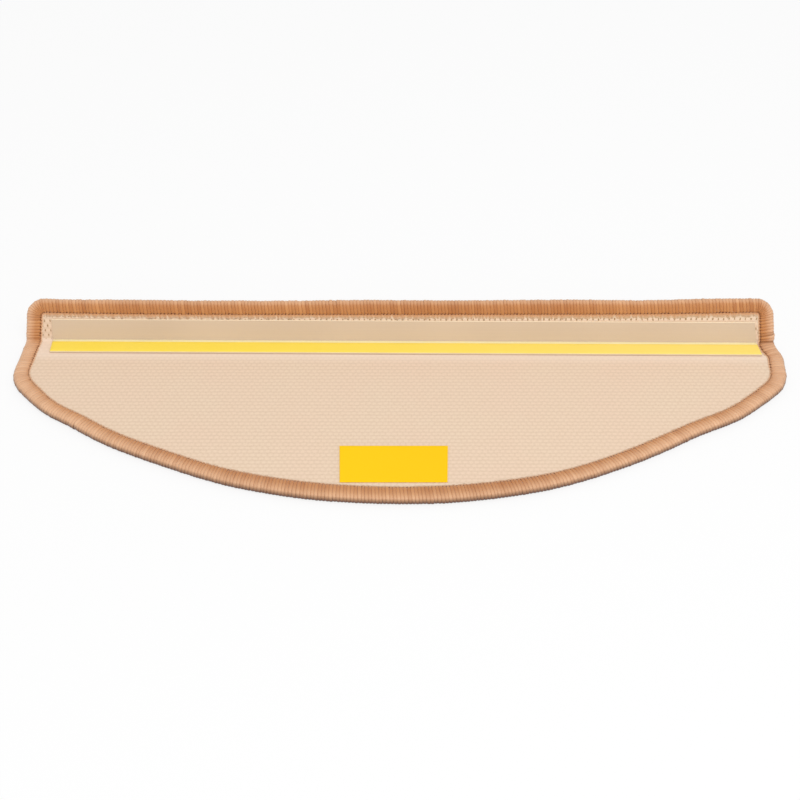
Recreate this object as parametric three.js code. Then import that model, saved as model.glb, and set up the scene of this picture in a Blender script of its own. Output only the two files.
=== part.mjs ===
// Half-round stair tread mat, lying with its carpet face down and its lip standing up at the back.
// The real mat is cut flat, whipped round its edge with yarn, then folded along one straight line.
// So every point is given on the flat cut first, as (across, along, up), and then folded.
// Millimetres, +Z up, +X to the right, and the lip is at the +Y side.

import * as THREE from 'three';

// The cut, over the binding
const SHOULDER_WIDTH = 650;
const TREAD_DEPTH = 199.5;
const SIDE_LENGTH = 36.4;
const SHOULDER_RADIUS = 42;
const LIP_LENGTH = 35.9;

// How much narrower the cut is at each side of the fold, and then at each side of the lip's top
const FOLD_NARROWING = 2.8;
const LIP_NARROWING = 2.2;

// Where the hand-cut line leaves its true curves: a flat stretch at the front right and a slighter
// one at the front left, a full left shoulder, a full right side before the fold, and a lip that
// runs a little off the straight and dips between its corners (a power says how evenly)
const RIGHT_SIDE_BULGE = 2.5;
const LIP_TOP_SAG = 2;
const LIP_TOP_FLATNESS = 4;
const LIP_TOP_TILT = THREE.MathUtils.degToRad(0.15);
const FLAT_SPOT_TO_SIDE = 89;
const FLAT_SPOT_DEPTH = 6.3;
const FLAT_SPOT_REACH_IN = 130;
const FLAT_SPOT_REACH_OUT = 52;
const LEFT_FLAT_TO_SIDE = 135;
const LEFT_FLAT_DEPTH = 1.6;
const LEFT_FLAT_REACH = 55;
const LEFT_SWELL_TO_SIDE = 34;
const LEFT_SWELL_HEIGHT = 2.7;
const LEFT_SWELL_REACH = 28;

// The sheet of carpet and its fold
const SHEET_THICKNESS = 6.5;
const FOLD_INNER_RADIUS = 3.5;
const LIP_LEAN = THREE.MathUtils.degToRad(17);
const FOLD_SKEW = THREE.MathUtils.degToRad(0.45);

// The whipped binding, which widens a little towards the middle of the front
const BINDING_WIDTH = 12.3;
const FRONT_BINDING_WIDTH = 14.3;
const FRONT_BINDING_REACH = 220;
const BINDING_CROWN = 1.9;
const BINDING_HEM = 0.6;
const YARN_THICKNESS = 1.2;
const NOSE_THICKNESS = 2.3;
const INNER_CORNER_RADIUS = 3.7;
const RIB_PITCH = 8;
const RIB_HEIGHT = 0.35;

// The plastic angle in the fold
const ANGLE_THICKNESS = 1.25;
const ANGLE_LIP_LEG = 16.8;
const ANGLE_TREAD_LEG = 16;
const ANGLE_LEFT_GAP = 9.2;
const ANGLE_RIGHT_GAP = 1.7;

// The adhesive strip on the angle, under its release liner
const STRIP_TAPE_THICKNESS = 0.5;
const STRIP_LINER_THICKNESS = 0.25;
const STRIP_LINER_WIDTH = 13.5;
const STRIP_EDGE_MARGIN = 0.4;
const STRIP_END_MARGIN = 0.3;

// The adhesive patch near the front, under its release liner
const PATCH_WIDTH = 83.5;
const PATCH_DEPTH = 43.3;
const PATCH_MIDDLE_ACROSS = -5;
const PATCH_TO_BINDING = 6.2;
const PATCH_TAPE_MARGIN = 0.5;
const PATCH_TAPE_THICKNESS = 0.5;
const PATCH_LINER_THICKNESS = 0.25;

// Clearances between pieces that are sewn or pressed together
const SEWN_GAP = 0.3;
const SEAT_GAP = 0.25;

// How finely the curves are cut
const FOLD_STEPS = 6;
const LONG_STEP = 7;
const ARC_STEP = THREE.MathUtils.degToRad(12);
const NOSE_STEP = THREE.MathUtils.degToRad(60);

// What follows from the sizes
const FOLD_WIDTH = SHOULDER_WIDTH - 2 * FOLD_NARROWING;
const LIP_WIDTH = FOLD_WIDTH - 2 * LIP_NARROWING;
const FLAT_SPOT_ACROSS = SHOULDER_WIDTH / 2 - FLAT_SPOT_TO_SIDE;
const LEFT_FLAT_ACROSS = LEFT_FLAT_TO_SIDE - SHOULDER_WIDTH / 2;
const LEFT_SWELL_ACROSS = LEFT_SWELL_TO_SIDE - SHOULDER_WIDTH / 2;
const ANGLE_LEFT_END = BINDING_WIDTH + ANGLE_LEFT_GAP - LIP_WIDTH / 2;
const ANGLE_RIGHT_END = LIP_WIDTH / 2 - BINDING_WIDTH - ANGLE_RIGHT_GAP;
const FOLD_ANGLE = Math.PI / 2 - LIP_LEAN;
const FOLD_LENGTH = FOLD_ANGLE * (FOLD_INNER_RADIUS + SHEET_THICKNESS / 2);
const FOLD_SHIFT = FOLD_WIDTH / 2 * Math.tan(FOLD_SKEW);
const LIP_CORNER_RADIUS = BINDING_WIDTH + INNER_CORNER_RADIUS;
const LIP_TOP = FOLD_LENGTH + LIP_LENGTH;
const BACKING_TO_ANGLE = SHEET_THICKNESS + SEAT_GAP;
const ANGLE_FACE = BACKING_TO_ANGLE + ANGLE_THICKNESS;
const STRIP_FRONT = STRIP_EDGE_MARGIN - ANGLE_TREAD_LEG;

// Folds a point across a fold that lies straight along X
function straightFolded(across, along, up) {
  const angle = THREE.MathUtils.clamp(along / FOLD_LENGTH, 0, 1) * FOLD_ANGLE;
  const straight = along < 0 ? along : Math.max(0, along - FOLD_LENGTH);
  const centre = SHEET_THICKNESS + FOLD_INNER_RADIUS;
  const radius = centre - up;
  return new THREE.Vector3(
    across,
    radius * Math.sin(angle) + straight * Math.cos(angle),
    centre - radius * Math.cos(angle) + straight * Math.sin(angle),
  );
}

// Folds a point of the flat cut: up is measured from the carpet face through the sheet
function folded(across, along, up) {
  const turned = new THREE.Vector2(across, along).rotateAround(new THREE.Vector2(), FOLD_SKEW);
  const point = straightFolded(turned.x, turned.y, up);
  return point.applyAxisAngle(new THREE.Vector3(0, 0, 1), -FOLD_SKEW);
}

// A soft dip of depth 1 at 0 that fades out at -1 and at 1
function softDip(position) {
  return Math.cos(THREE.MathUtils.clamp(position, -1, 1) * Math.PI / 2) ** 2;
}

// How far the hand-cut front lies inside its true arc
function frontInset(across) {
  const reach = across < FLAT_SPOT_ACROSS ? FLAT_SPOT_REACH_IN : FLAT_SPOT_REACH_OUT;
  const right = FLAT_SPOT_DEPTH * softDip((across - FLAT_SPOT_ACROSS) / reach);
  const left = LEFT_FLAT_DEPTH * softDip((across - LEFT_FLAT_ACROSS) / LEFT_FLAT_REACH);
  const swell = LEFT_SWELL_HEIGHT * softDip((across - LEFT_SWELL_ACROSS) / LEFT_SWELL_REACH);
  return right + left - swell;
}

// How wide the binding is at a point of the cut's outline
function bindingWidth(point) {
  const share = point.y < 0 ? softDip(point.x / FRONT_BINDING_REACH) : 0;
  return THREE.MathUtils.lerp(BINDING_WIDTH, FRONT_BINDING_WIDTH, share);
}

// The radius of the front arc that runs smoothly into both shoulders and ends at the tread's depth;
// the shoulder's centre lies across and behind the middle of the front
function frontArcRadius(across, behind) {
  return (across ** 2 + behind ** 2 - SHOULDER_RADIUS ** 2) / (2 * (behind - SHOULDER_RADIUS));
}

// The outer line of the cut, as one run of curves from the middle of the front, round by the right
function outlinePieces() {
  const shoulderAcross = SHOULDER_WIDTH / 2 - SHOULDER_RADIUS;
  const shoulderAlong = -SIDE_LENGTH;
  const frontRadius = frontArcRadius(shoulderAcross, TREAD_DEPTH - SIDE_LENGTH);
  const frontCentre = frontRadius - TREAD_DEPTH;
  const shoulderTurn = Math.atan2(frontCentre - shoulderAlong, shoulderAcross);
  const cornerAcross = LIP_WIDTH / 2 - LIP_CORNER_RADIUS;
  const tilt = cornerAcross * Math.tan(LIP_TOP_TILT);
  const rightTop = LIP_TOP - tilt;
  const leftTop = LIP_TOP + tilt;
  const rightCorner = rightTop - LIP_CORNER_RADIUS;
  const leftCorner = leftTop - LIP_CORNER_RADIUS;
  const halfTurn = Math.PI;

  const arc = (x, y, radius, from, to) => new THREE.EllipseCurve(x, y, radius, radius, from, to);
  const point = (x, y) => new THREE.Vector2(x, y);
  const line = (x1, y1, x2, y2) => new THREE.LineCurve(point(x1, y1), point(x2, y2));
  const fold = FOLD_WIDTH / 2;
  const side = SHOULDER_WIDTH / 2;
  const lip = LIP_WIDTH / 2;
  const rightFoldEnd = FOLD_LENGTH - FOLD_SHIFT;
  const leftFoldEnd = FOLD_LENGTH + FOLD_SHIFT;

  return [
    { curve: arc(0, frontCentre, frontRadius, -Math.PI / 2, -shoulderTurn), front: true },
    { curve: arc(shoulderAcross, shoulderAlong, SHOULDER_RADIUS, -shoulderTurn, 0), turn: shoulderTurn },
    { curve: line(side, shoulderAlong, fold, -FOLD_SHIFT), rightSide: true },
    { curve: line(fold, -FOLD_SHIFT, fold, rightFoldEnd), fold: true },
    { curve: line(fold, rightFoldEnd, lip, rightCorner) },
    { curve: arc(cornerAcross, rightCorner, LIP_CORNER_RADIUS, 0, Math.PI / 2), turn: Math.PI / 2 },
    { curve: line(cornerAcross, rightTop, 0, LIP_TOP), top: true },
    { curve: line(0, LIP_TOP, -cornerAcross, leftTop), top: true },
    { curve: arc(-cornerAcross, leftCorner, LIP_CORNER_RADIUS, Math.PI / 2, halfTurn), turn: Math.PI / 2 },
    { curve: line(-lip, leftCorner, -fold, leftFoldEnd) },
    { curve: line(-fold, leftFoldEnd, -fold, FOLD_SHIFT), fold: true },
    { curve: line(-fold, FOLD_SHIFT, -side, shoulderAlong) },
    {
      curve: arc(-shoulderAcross, shoulderAlong, SHOULDER_RADIUS, -halfTurn, shoulderTurn - halfTurn),
      turn: shoulderTurn,
    },
    { curve: arc(0, frontCentre, frontRadius, shoulderTurn - halfTurn, -Math.PI / 2), front: true },
  ];
}

// Points along the outline with their outward direction; stepsOf gives each curve's number of steps
function outlineStations(stepsOf) {
  const stations = [];
  for (const piece of outlinePieces()) {
    const steps = piece.fold ? FOLD_STEPS : stepsOf(piece);
    for (let step = 0; step < steps; step += 1) {
      const part = step / steps;
      const point = piece.curve.getPoint(part);
      const tangent = piece.curve.getTangent(part);
      const outward = new THREE.Vector2(tangent.y, -tangent.x);
      let inset = 0;
      if (piece.front) {
        inset = frontInset(point.x);
      }
      if (piece.rightSide) {
        inset = -RIGHT_SIDE_BULGE * softDip(2 * part - 1);
      }
      if (piece.top) {
        inset = LIP_TOP_SAG * (1 - (point.x / (LIP_WIDTH / 2 - LIP_CORNER_RADIUS)) ** LIP_TOP_FLATNESS);
      }
      stations.push({ point: point.addScaledVector(outward, -inset), outward, fold: piece.fold });
    }
  }
  return stations;
}

function sheetSteps(piece) {
  if (piece.turn) {
    return Math.ceil(piece.turn / ARC_STEP);
  }
  return Math.ceil(piece.curve.getLength() / LONG_STEP);
}

function ribSteps(piece) {
  return 2 * Math.max(1, Math.round(piece.curve.getLength() / RIB_PITCH));
}

// The folded place of a section point: out is measured from the outline, negative towards the middle
function placed(station, out, up) {
  const flat = station.point.clone().addScaledVector(station.outward, out);
  return folded(flat.x, flat.y, up);
}

function closedGeometry(points, triangles) {
  const geometry = new THREE.BufferGeometry().setFromPoints(points);
  geometry.setIndex(triangles);
  geometry.computeVertexNormals();
  return geometry;
}

// Joins the rings of points in order, with sides between neighbouring points of a ring
function ringSides(ringCount, ringSize, sideCount) {
  const triangles = [];
  for (let ring = 0; ring < ringCount; ring += 1) {
    const here = ring * ringSize;
    const next = ((ring + 1) % ringCount) * ringSize;
    for (let side = 0; side < sideCount; side += 1) {
      const other = (side + 1) % ringSize;
      triangles.push(here + side, next + side, next + other);
      triangles.push(here + side, next + other, here + other);
    }
  }
  return triangles;
}

// Fills one face of the sheet: the tread part and the lip are flat, and straight rungs cross the fold;
// outOf says how far out from the outline the face ends at a station
function sheetFace(stations, outOf, vertexOf, facingUp) {
  const count = stations.length;
  const foldStart = stations.findIndex((station) => station.fold);
  const foldEnd = foldStart + FOLD_STEPS;
  const triangles = [];
  const add = (a, b, c) => triangles.push(...(facingUp ? [a, b, c] : [a, c, b]).map(vertexOf));

  const fillFlat = (rings) => {
    const contour = rings.map((ring) => {
      const { point, outward } = stations[ring];
      return point.clone().addScaledVector(outward, outOf(stations[ring]));
    });
    for (const [a, b, c] of THREE.ShapeUtils.triangulateShape(contour, [])) {
      add(rings[a], rings[b], rings[c]);
    }
  };
  const ringsFrom = (first, last) => {
    const length = last - first + 1;
    return Array.from({ length }, (_, step) => (first + step) % count);
  };
  fillFlat(ringsFrom(count - foldStart, count + foldStart));
  fillFlat(ringsFrom(foldEnd, count - foldEnd));

  for (let rung = foldStart; rung < foldEnd; rung += 1) {
    const left = count - rung;
    add(rung, rung + 1, left - 1);
    add(rung, left - 1, left);
  }
  return triangles;
}

// The carpet sheet: its underside is stepped back at the edge, where the yarn presses the pile flat
function matBody() {
  const stations = outlineStations(sheetSteps);
  const stepIn = ({ point }) => -(bindingWidth(point) + SEWN_GAP);
  const stepUp = YARN_THICKNESS + SEWN_GAP;
  const edge = () => -(NOSE_THICKNESS + SEWN_GAP);
  const section = [[stepIn, 0], [stepIn, stepUp], [edge, stepUp], [edge, SHEET_THICKNESS]];
  const sectionAt = (station) => section.map(([outOf, up]) => placed(station, outOf(station), up));
  const points = stations.flatMap(sectionAt);
  const top = section.length - 1;
  const triangles = [
    ...ringSides(stations.length, section.length, top),
    ...sheetFace(stations, edge, (ring) => ring * section.length + top, true),
    ...sheetFace(stations, stepIn, (ring) => ring * section.length, false),
  ];
  return closedGeometry(points, triangles);
}

// The binding: yarn whipped round the edge, as one bead with a rib for every few turns of the yarn
function edgeBinding() {
  const stations = outlineStations(ribSteps);
  const crown = SHEET_THICKNESS + BINDING_CROWN;
  const middle = crown / 2;
  const inner = SHEET_THICKNESS + SEWN_GAP;
  const shoulder = middle * Math.sin(NOSE_STEP);
  const corner = middle * (1 - Math.cos(NOSE_STEP));
  const points = stations.flatMap((station, ring) => {
    const rib = ring % 2 ? RIB_HEIGHT : 0;
    const width = bindingWidth(station.point);
    const section = [
      [-width, 0],
      [-middle, 0],
      [rib - corner, middle - shoulder - rib / 2],
      [rib, middle],
      [rib - corner, middle + shoulder + rib / 2],
      [-width / 2, crown + rib],
      [-width, inner + BINDING_HEM + rib / 2],
      [-width, inner],
      [-NOSE_THICKNESS, inner],
      [-NOSE_THICKNESS, YARN_THICKNESS],
      [-width, YARN_THICKNESS],
    ];
    return section.map(([out, up]) => placed(station, out, up));
  });
  const ringSize = points.length / stations.length;
  return closedGeometry(points, ringSides(stations.length, ringSize, ringSize));
}

// The angle: its outer faces follow the folded backing and its inner corner is sharp
function angleProfile() {
  const point = (along, up) => {
    const place = straightFolded(0, along, up);
    return new THREE.Vector2(place.y, place.z);
  };
  const outline = [];
  outline.push(point(-ANGLE_TREAD_LEG, BACKING_TO_ANGLE));
  for (let step = 0; step <= FOLD_STEPS; step += 1) {
    outline.push(point(FOLD_LENGTH * step / FOLD_STEPS, BACKING_TO_ANGLE));
  }
  outline.push(point(FOLD_LENGTH + ANGLE_LIP_LEG, BACKING_TO_ANGLE));
  outline.push(point(FOLD_LENGTH + ANGLE_LIP_LEG, ANGLE_FACE));
  outline.push(new THREE.Vector2(innerCornerAlong(), ANGLE_FACE));
  outline.push(point(-ANGLE_TREAD_LEG, ANGLE_FACE));
  const geometry = new THREE.ExtrudeGeometry(new THREE.Shape(outline), {
    depth: ANGLE_RIGHT_END - ANGLE_LEFT_END,
    bevelEnabled: false,
  });
  const alongY = new THREE.Vector3(0, 1, 0);
  const alongZ = new THREE.Vector3(0, 0, 1);
  const alongX = new THREE.Vector3(1, 0, 0);
  geometry.applyMatrix4(new THREE.Matrix4().makeBasis(alongY, alongZ, alongX));
  geometry.translate(ANGLE_LEFT_END, 0, 0);
  return geometry;
}

// Where the two inner faces of the angle meet
function innerCornerAlong() {
  const innerRadius = SHEET_THICKNESS + FOLD_INNER_RADIUS - ANGLE_FACE;
  return innerRadius * Math.tan(FOLD_ANGLE / 2);
}

// A flat strip lying on a level face, given by its edges
function flatStrip(left, right, front, back, bottom, thickness) {
  const geometry = new THREE.BoxGeometry(right - left, back - front, thickness);
  geometry.translate((left + right) / 2, (front + back) / 2, bottom + thickness / 2);
  return geometry;
}

// A strip on the angle's tread leg, from its front edge back
function stripOnAngle(back, bottom, thickness) {
  const left = ANGLE_LEFT_END + STRIP_END_MARGIN;
  const right = ANGLE_RIGHT_END - STRIP_END_MARGIN;
  return flatStrip(left, right, STRIP_FRONT, back, bottom, thickness);
}

function stripTape() {
  return stripOnAngle(innerCornerAlong() - STRIP_EDGE_MARGIN, ANGLE_FACE, STRIP_TAPE_THICKNESS);
}

function stripLiner() {
  const bottom = ANGLE_FACE + STRIP_TAPE_THICKNESS;
  return stripOnAngle(STRIP_FRONT + STRIP_LINER_WIDTH, bottom, STRIP_LINER_THICKNESS);
}

// A rectangle of the patch, drawn in by a margin on all four sides
function patchLayer(margin, bottom, thickness) {
  const front = -TREAD_DEPTH + FRONT_BINDING_WIDTH + PATCH_TO_BINDING + margin;
  const back = front + PATCH_DEPTH - 2 * margin;
  const left = PATCH_MIDDLE_ACROSS - PATCH_WIDTH / 2 + margin;
  const right = PATCH_MIDDLE_ACROSS + PATCH_WIDTH / 2 - margin;
  return flatStrip(left, right, front, back, bottom, thickness);
}

function patchTape() {
  return patchLayer(PATCH_TAPE_MARGIN, SHEET_THICKNESS, PATCH_TAPE_THICKNESS);
}

function patchLiner() {
  return patchLayer(0, SHEET_THICKNESS + PATCH_TAPE_THICKNESS, PATCH_LINER_THICKNESS);
}

const backingCloth = new THREE.MeshStandardMaterial({ color: 0xead0b7, roughness: 0.95, metalness: 0 });
const yarn = new THREE.MeshStandardMaterial({ color: 0xcd9468, roughness: 0.85, metalness: 0 });
const tanPlastic = new THREE.MeshStandardMaterial({ color: 0xdcbf9b, roughness: 0.55, metalness: 0 });
const creamTape = new THREE.MeshStandardMaterial({ color: 0xffecc6, roughness: 0.6, metalness: 0 });
const paleYellowLiner = new THREE.MeshStandardMaterial({ color: 0xfedc5c, roughness: 0.5, metalness: 0 });
const yellowLiner = new THREE.MeshStandardMaterial({ color: 0xfed026, roughness: 0.5, metalness: 0 });

// What lies in the fold turns with it
const foldGroup = new THREE.Group();
foldGroup.rotation.z = -FOLD_SKEW;
const treadMat = new THREE.Group();
treadMat.add(foldGroup);

function addPiece(group, name, geometry, material) {
  const mesh = new THREE.Mesh(geometry, material);
  mesh.name = name;
  group.add(mesh);
}

addPiece(treadMat, 'mat_body', matBody(), backingCloth);
addPiece(treadMat, 'edge_binding', edgeBinding(), yarn);
addPiece(treadMat, 'patch_adhesive', patchTape(), creamTape);
addPiece(treadMat, 'patch_release_liner', patchLiner(), yellowLiner);
addPiece(foldGroup, 'angle_profile', angleProfile(), tanPlastic);
addPiece(foldGroup, 'strip_adhesive', stripTape(), creamTape);
addPiece(foldGroup, 'strip_release_liner', stripLiner(), paleYellowLiner);

// The origin is under the middle of the whole mat, on the surface that it lies on
const extent = new THREE.Box3().setFromObject(treadMat);
const middlePoint = extent.getCenter(new THREE.Vector3());
treadMat.position.set(-middlePoint.x, -middlePoint.y, -extent.min.z);

export default treadMat;
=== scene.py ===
# %% [markdown]
# # A half-round stair tread mat, lying with its underside up
#
# The real mat is a piece of carpet with a cloth backing. It is cut to a half round, whipped round
# its edge with thick yarn, and folded along one line so that a lip can grip the nosing of a stair.
# A tan plastic angle sits in the fold. A strip and a patch of double-sided tape, each under its
# yellow release liner, hold the mat to the stair.
#
# This script dresses the measured solids of the mat with its cloth, yarn, plastic and paper.

# %% Load the measured solids
import math

import bpy
import numpy as np
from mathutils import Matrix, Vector


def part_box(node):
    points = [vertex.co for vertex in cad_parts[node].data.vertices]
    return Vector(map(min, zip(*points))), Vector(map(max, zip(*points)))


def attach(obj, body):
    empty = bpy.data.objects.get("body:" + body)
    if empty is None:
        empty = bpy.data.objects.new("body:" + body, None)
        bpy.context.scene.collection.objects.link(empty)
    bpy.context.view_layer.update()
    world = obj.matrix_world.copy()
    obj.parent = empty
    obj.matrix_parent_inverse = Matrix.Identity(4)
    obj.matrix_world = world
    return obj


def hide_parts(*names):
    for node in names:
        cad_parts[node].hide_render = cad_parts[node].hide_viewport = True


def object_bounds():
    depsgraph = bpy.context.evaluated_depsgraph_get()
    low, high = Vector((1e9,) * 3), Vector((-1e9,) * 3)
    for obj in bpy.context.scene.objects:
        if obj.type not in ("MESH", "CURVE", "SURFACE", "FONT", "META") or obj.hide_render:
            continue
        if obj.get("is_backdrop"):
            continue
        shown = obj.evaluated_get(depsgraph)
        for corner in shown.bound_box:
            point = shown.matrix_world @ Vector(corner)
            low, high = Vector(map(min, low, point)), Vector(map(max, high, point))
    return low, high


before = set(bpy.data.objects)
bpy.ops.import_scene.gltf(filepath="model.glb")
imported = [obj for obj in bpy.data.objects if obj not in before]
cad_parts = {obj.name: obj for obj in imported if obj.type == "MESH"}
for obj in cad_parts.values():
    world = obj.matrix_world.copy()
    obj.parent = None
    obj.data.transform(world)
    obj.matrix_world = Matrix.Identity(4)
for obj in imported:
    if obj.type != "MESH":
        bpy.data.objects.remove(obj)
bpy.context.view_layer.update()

print("solids:", sorted(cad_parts))

# %% [markdown]
# ## The sizes of the cut
#
# Everything on this mat follows the flat cut: the yarn goes round its outline and the fold crosses
# it. The same few sizes that made the solids are repeated here, in millimetres turned to metres, so
# that every stitch lands on the edge that it really whips. Measuring the solids' meshes instead
# would give points with no meaning, and nothing could be placed along the edge by its length.

# %% Sizes of the cut, the fold, the yarn and the angle
MM = 0.001

SHOULDER_WIDTH = 650 * MM
TREAD_DEPTH = 199.5 * MM
SIDE_LENGTH = 36.4 * MM
SHOULDER_RADIUS = 42 * MM
LIP_LENGTH = 35.9 * MM
FOLD_NARROWING = 2.8 * MM
LIP_NARROWING = 2.2 * MM

RIGHT_SIDE_BULGE = 2.5 * MM
LIP_TOP_SAG = 2 * MM
LIP_TOP_FLATNESS = 4
LIP_TOP_TILT = math.radians(0.15)
FLAT_SPOT_TO_SIDE = 89 * MM
FLAT_SPOT_DEPTH = 6.3 * MM
FLAT_SPOT_REACH_IN = 130 * MM
FLAT_SPOT_REACH_OUT = 52 * MM
LEFT_FLAT_TO_SIDE = 135 * MM
LEFT_FLAT_DEPTH = 1.6 * MM
LEFT_FLAT_REACH = 55 * MM
LEFT_SWELL_TO_SIDE = 34 * MM
LEFT_SWELL_HEIGHT = 2.7 * MM
LEFT_SWELL_REACH = 28 * MM

SHEET_THICKNESS = 6.5 * MM
FOLD_INNER_RADIUS = 3.5 * MM
LIP_LEAN = math.radians(17)
FOLD_SKEW = math.radians(0.45)

BINDING_WIDTH = 12.3 * MM
FRONT_BINDING_WIDTH = 14.3 * MM
FRONT_BINDING_REACH = 220 * MM
BINDING_CROWN = 1.9 * MM
INNER_CORNER_RADIUS = 3.7 * MM

ANGLE_THICKNESS = 1.25 * MM
ANGLE_LIP_LEG = 16.8 * MM
ANGLE_TREAD_LEG = 16 * MM
ANGLE_LEFT_GAP = 9.2 * MM
ANGLE_RIGHT_GAP = 1.7 * MM
SEAT_GAP = 0.25 * MM

STRIP_TAPE_THICKNESS = 0.5 * MM
STRIP_LINER_THICKNESS = 0.25 * MM
STRIP_LINER_WIDTH = 13.5 * MM
STRIP_EDGE_MARGIN = 0.4 * MM
STRIP_END_MARGIN = 0.3 * MM

PATCH_MIDDLE_ACROSS = -5 * MM
PATCH_TO_BINDING = 6.2 * MM

FOLD_WIDTH = SHOULDER_WIDTH - 2 * FOLD_NARROWING
LIP_WIDTH = FOLD_WIDTH - 2 * LIP_NARROWING
FLAT_SPOT_ACROSS = SHOULDER_WIDTH / 2 - FLAT_SPOT_TO_SIDE
FOLD_ANGLE = math.pi / 2 - LIP_LEAN
FOLD_CENTRE = SHEET_THICKNESS + FOLD_INNER_RADIUS
FOLD_LENGTH = FOLD_ANGLE * (FOLD_INNER_RADIUS + SHEET_THICKNESS / 2)
FOLD_SHIFT = FOLD_WIDTH / 2 * math.tan(FOLD_SKEW)
LIP_CORNER_RADIUS = BINDING_WIDTH + INNER_CORNER_RADIUS
LIP_TOP = FOLD_LENGTH + LIP_LENGTH
BINDING_TOP = SHEET_THICKNESS + BINDING_CROWN
ANGLE_LEFT_END = BINDING_WIDTH + ANGLE_LEFT_GAP - LIP_WIDTH / 2
ANGLE_RIGHT_END = LIP_WIDTH / 2 - BINDING_WIDTH - ANGLE_RIGHT_GAP
ANGLE_BACK = SHEET_THICKNESS + SEAT_GAP
ANGLE_FACE = ANGLE_BACK + ANGLE_THICKNESS

# %% [markdown]
# ## From the flat cut to the folded mat
#
# A point of the flat cut has three numbers: across, along, and up through the sheet. Two turns and
# one bend put it in place: turn by the small skew of the fold, roll what lies past the fold line
# round its inner radius, and turn back. Bending a finished mesh with a modifier would do the same,
# but then the yarn's own thickness could not be laid exactly on the bent edge.

# %% Fold points of the flat cut
# The middle of the fold line in the part's own frame, worked back from where the patch lies
patch_low, patch_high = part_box("patch_release_liner")
PLACE = np.array([
    (patch_low.x + patch_high.x) / 2 - PATCH_MIDDLE_ACROSS,
    patch_low.y + TREAD_DEPTH - FRONT_BINDING_WIDTH - PATCH_TO_BINDING,
    0.0,
])


def turned(x, y, angle):
    """Turns level points by an angle, round the middle of the fold line."""
    return x * math.cos(angle) - y * math.sin(angle), x * math.sin(angle) + y * math.cos(angle)


def fold_across_x(along, up):
    """Folds points over a fold that lies straight across, and gives their depth and height."""
    angle = np.clip(along / FOLD_LENGTH, 0, 1) * FOLD_ANGLE
    straight = np.where(along < 0, along, np.maximum(0, along - FOLD_LENGTH))
    radius = FOLD_CENTRE - up
    depth = radius * np.sin(angle) + straight * np.cos(angle)
    height = FOLD_CENTRE - radius * np.cos(angle) + straight * np.sin(angle)
    return depth, height


def in_fold(across, depth, height):
    """Places points that are measured from the fold line itself."""
    x, y = turned(across, depth, -FOLD_SKEW)
    return np.stack([x, y, height + 0 * x], axis=-1) + PLACE


def folded(across, along, up):
    """Places points of the flat cut on the folded mat."""
    turned_across, turned_along = turned(across, along, FOLD_SKEW)
    depth, height = fold_across_x(turned_along, up)
    return in_fold(turned_across, depth, height)


print("the middle of the fold line lies at", (PLACE / MM).round(2))

# %% [markdown]
# ## The outline
#
# The cut is a chain of arcs and straight lines: a wide front arc, two round shoulders, short sides,
# and the lip with its small corners. A hand-cut edge leaves the true curves a little, so a few soft
# dips are taken from it, and the left shoulder is filled out. The chain is drawn finely and then
# smoothed over a millimetre or two, because thick yarn never turns a sharp corner. A Bezier curve
# would need handles tuned by eye; arcs keep their real radii.

# %% Draw the outline, counter-clockwise from the middle of the front
OUTLINE_STEP = 0.5 * MM
OUTLINE_SMOOTHING = 2.0 * MM


def soft_dip(position):
    """Is 1 at 0, and fades out softly at -1 and at 1."""
    return np.cos(np.clip(position, -1, 1) * math.pi / 2) ** 2


def arc(x, y, radius, start, end):
    """Points along an arc round a centre, and the outward direction at each."""
    count = max(2, int(abs(end - start) * radius / OUTLINE_STEP))
    turn = np.linspace(start, end, count, endpoint=False)
    outward = np.stack([np.cos(turn), np.sin(turn)], axis=1)
    return np.array([x, y]) + radius * outward, outward


def line(x1, y1, x2, y2):
    """Points along a straight line, and the outward direction at each."""
    length = math.hypot(x2 - x1, y2 - y1)
    part = np.linspace(0, 1, max(2, int(length / OUTLINE_STEP)), endpoint=False)[:, None]
    outward = np.array([[(y2 - y1) / length, -(x2 - x1) / length]]) + 0 * part
    return np.array([[x1, y1]]) * (1 - part) + np.array([[x2, y2]]) * part, outward


def front_inset(across):
    """How far the front is cut inside its true arc: two flat spots, less a full left shoulder."""
    reach = np.where(across < FLAT_SPOT_ACROSS, FLAT_SPOT_REACH_IN, FLAT_SPOT_REACH_OUT)
    right = FLAT_SPOT_DEPTH * soft_dip((across - FLAT_SPOT_ACROSS) / reach)
    from_left = across + SHOULDER_WIDTH / 2
    left = LEFT_FLAT_DEPTH * soft_dip((from_left - LEFT_FLAT_TO_SIDE) / LEFT_FLAT_REACH)
    swell = LEFT_SWELL_HEIGHT * soft_dip((from_left - LEFT_SWELL_TO_SIDE) / LEFT_SWELL_REACH)
    return right + left - swell


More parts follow.
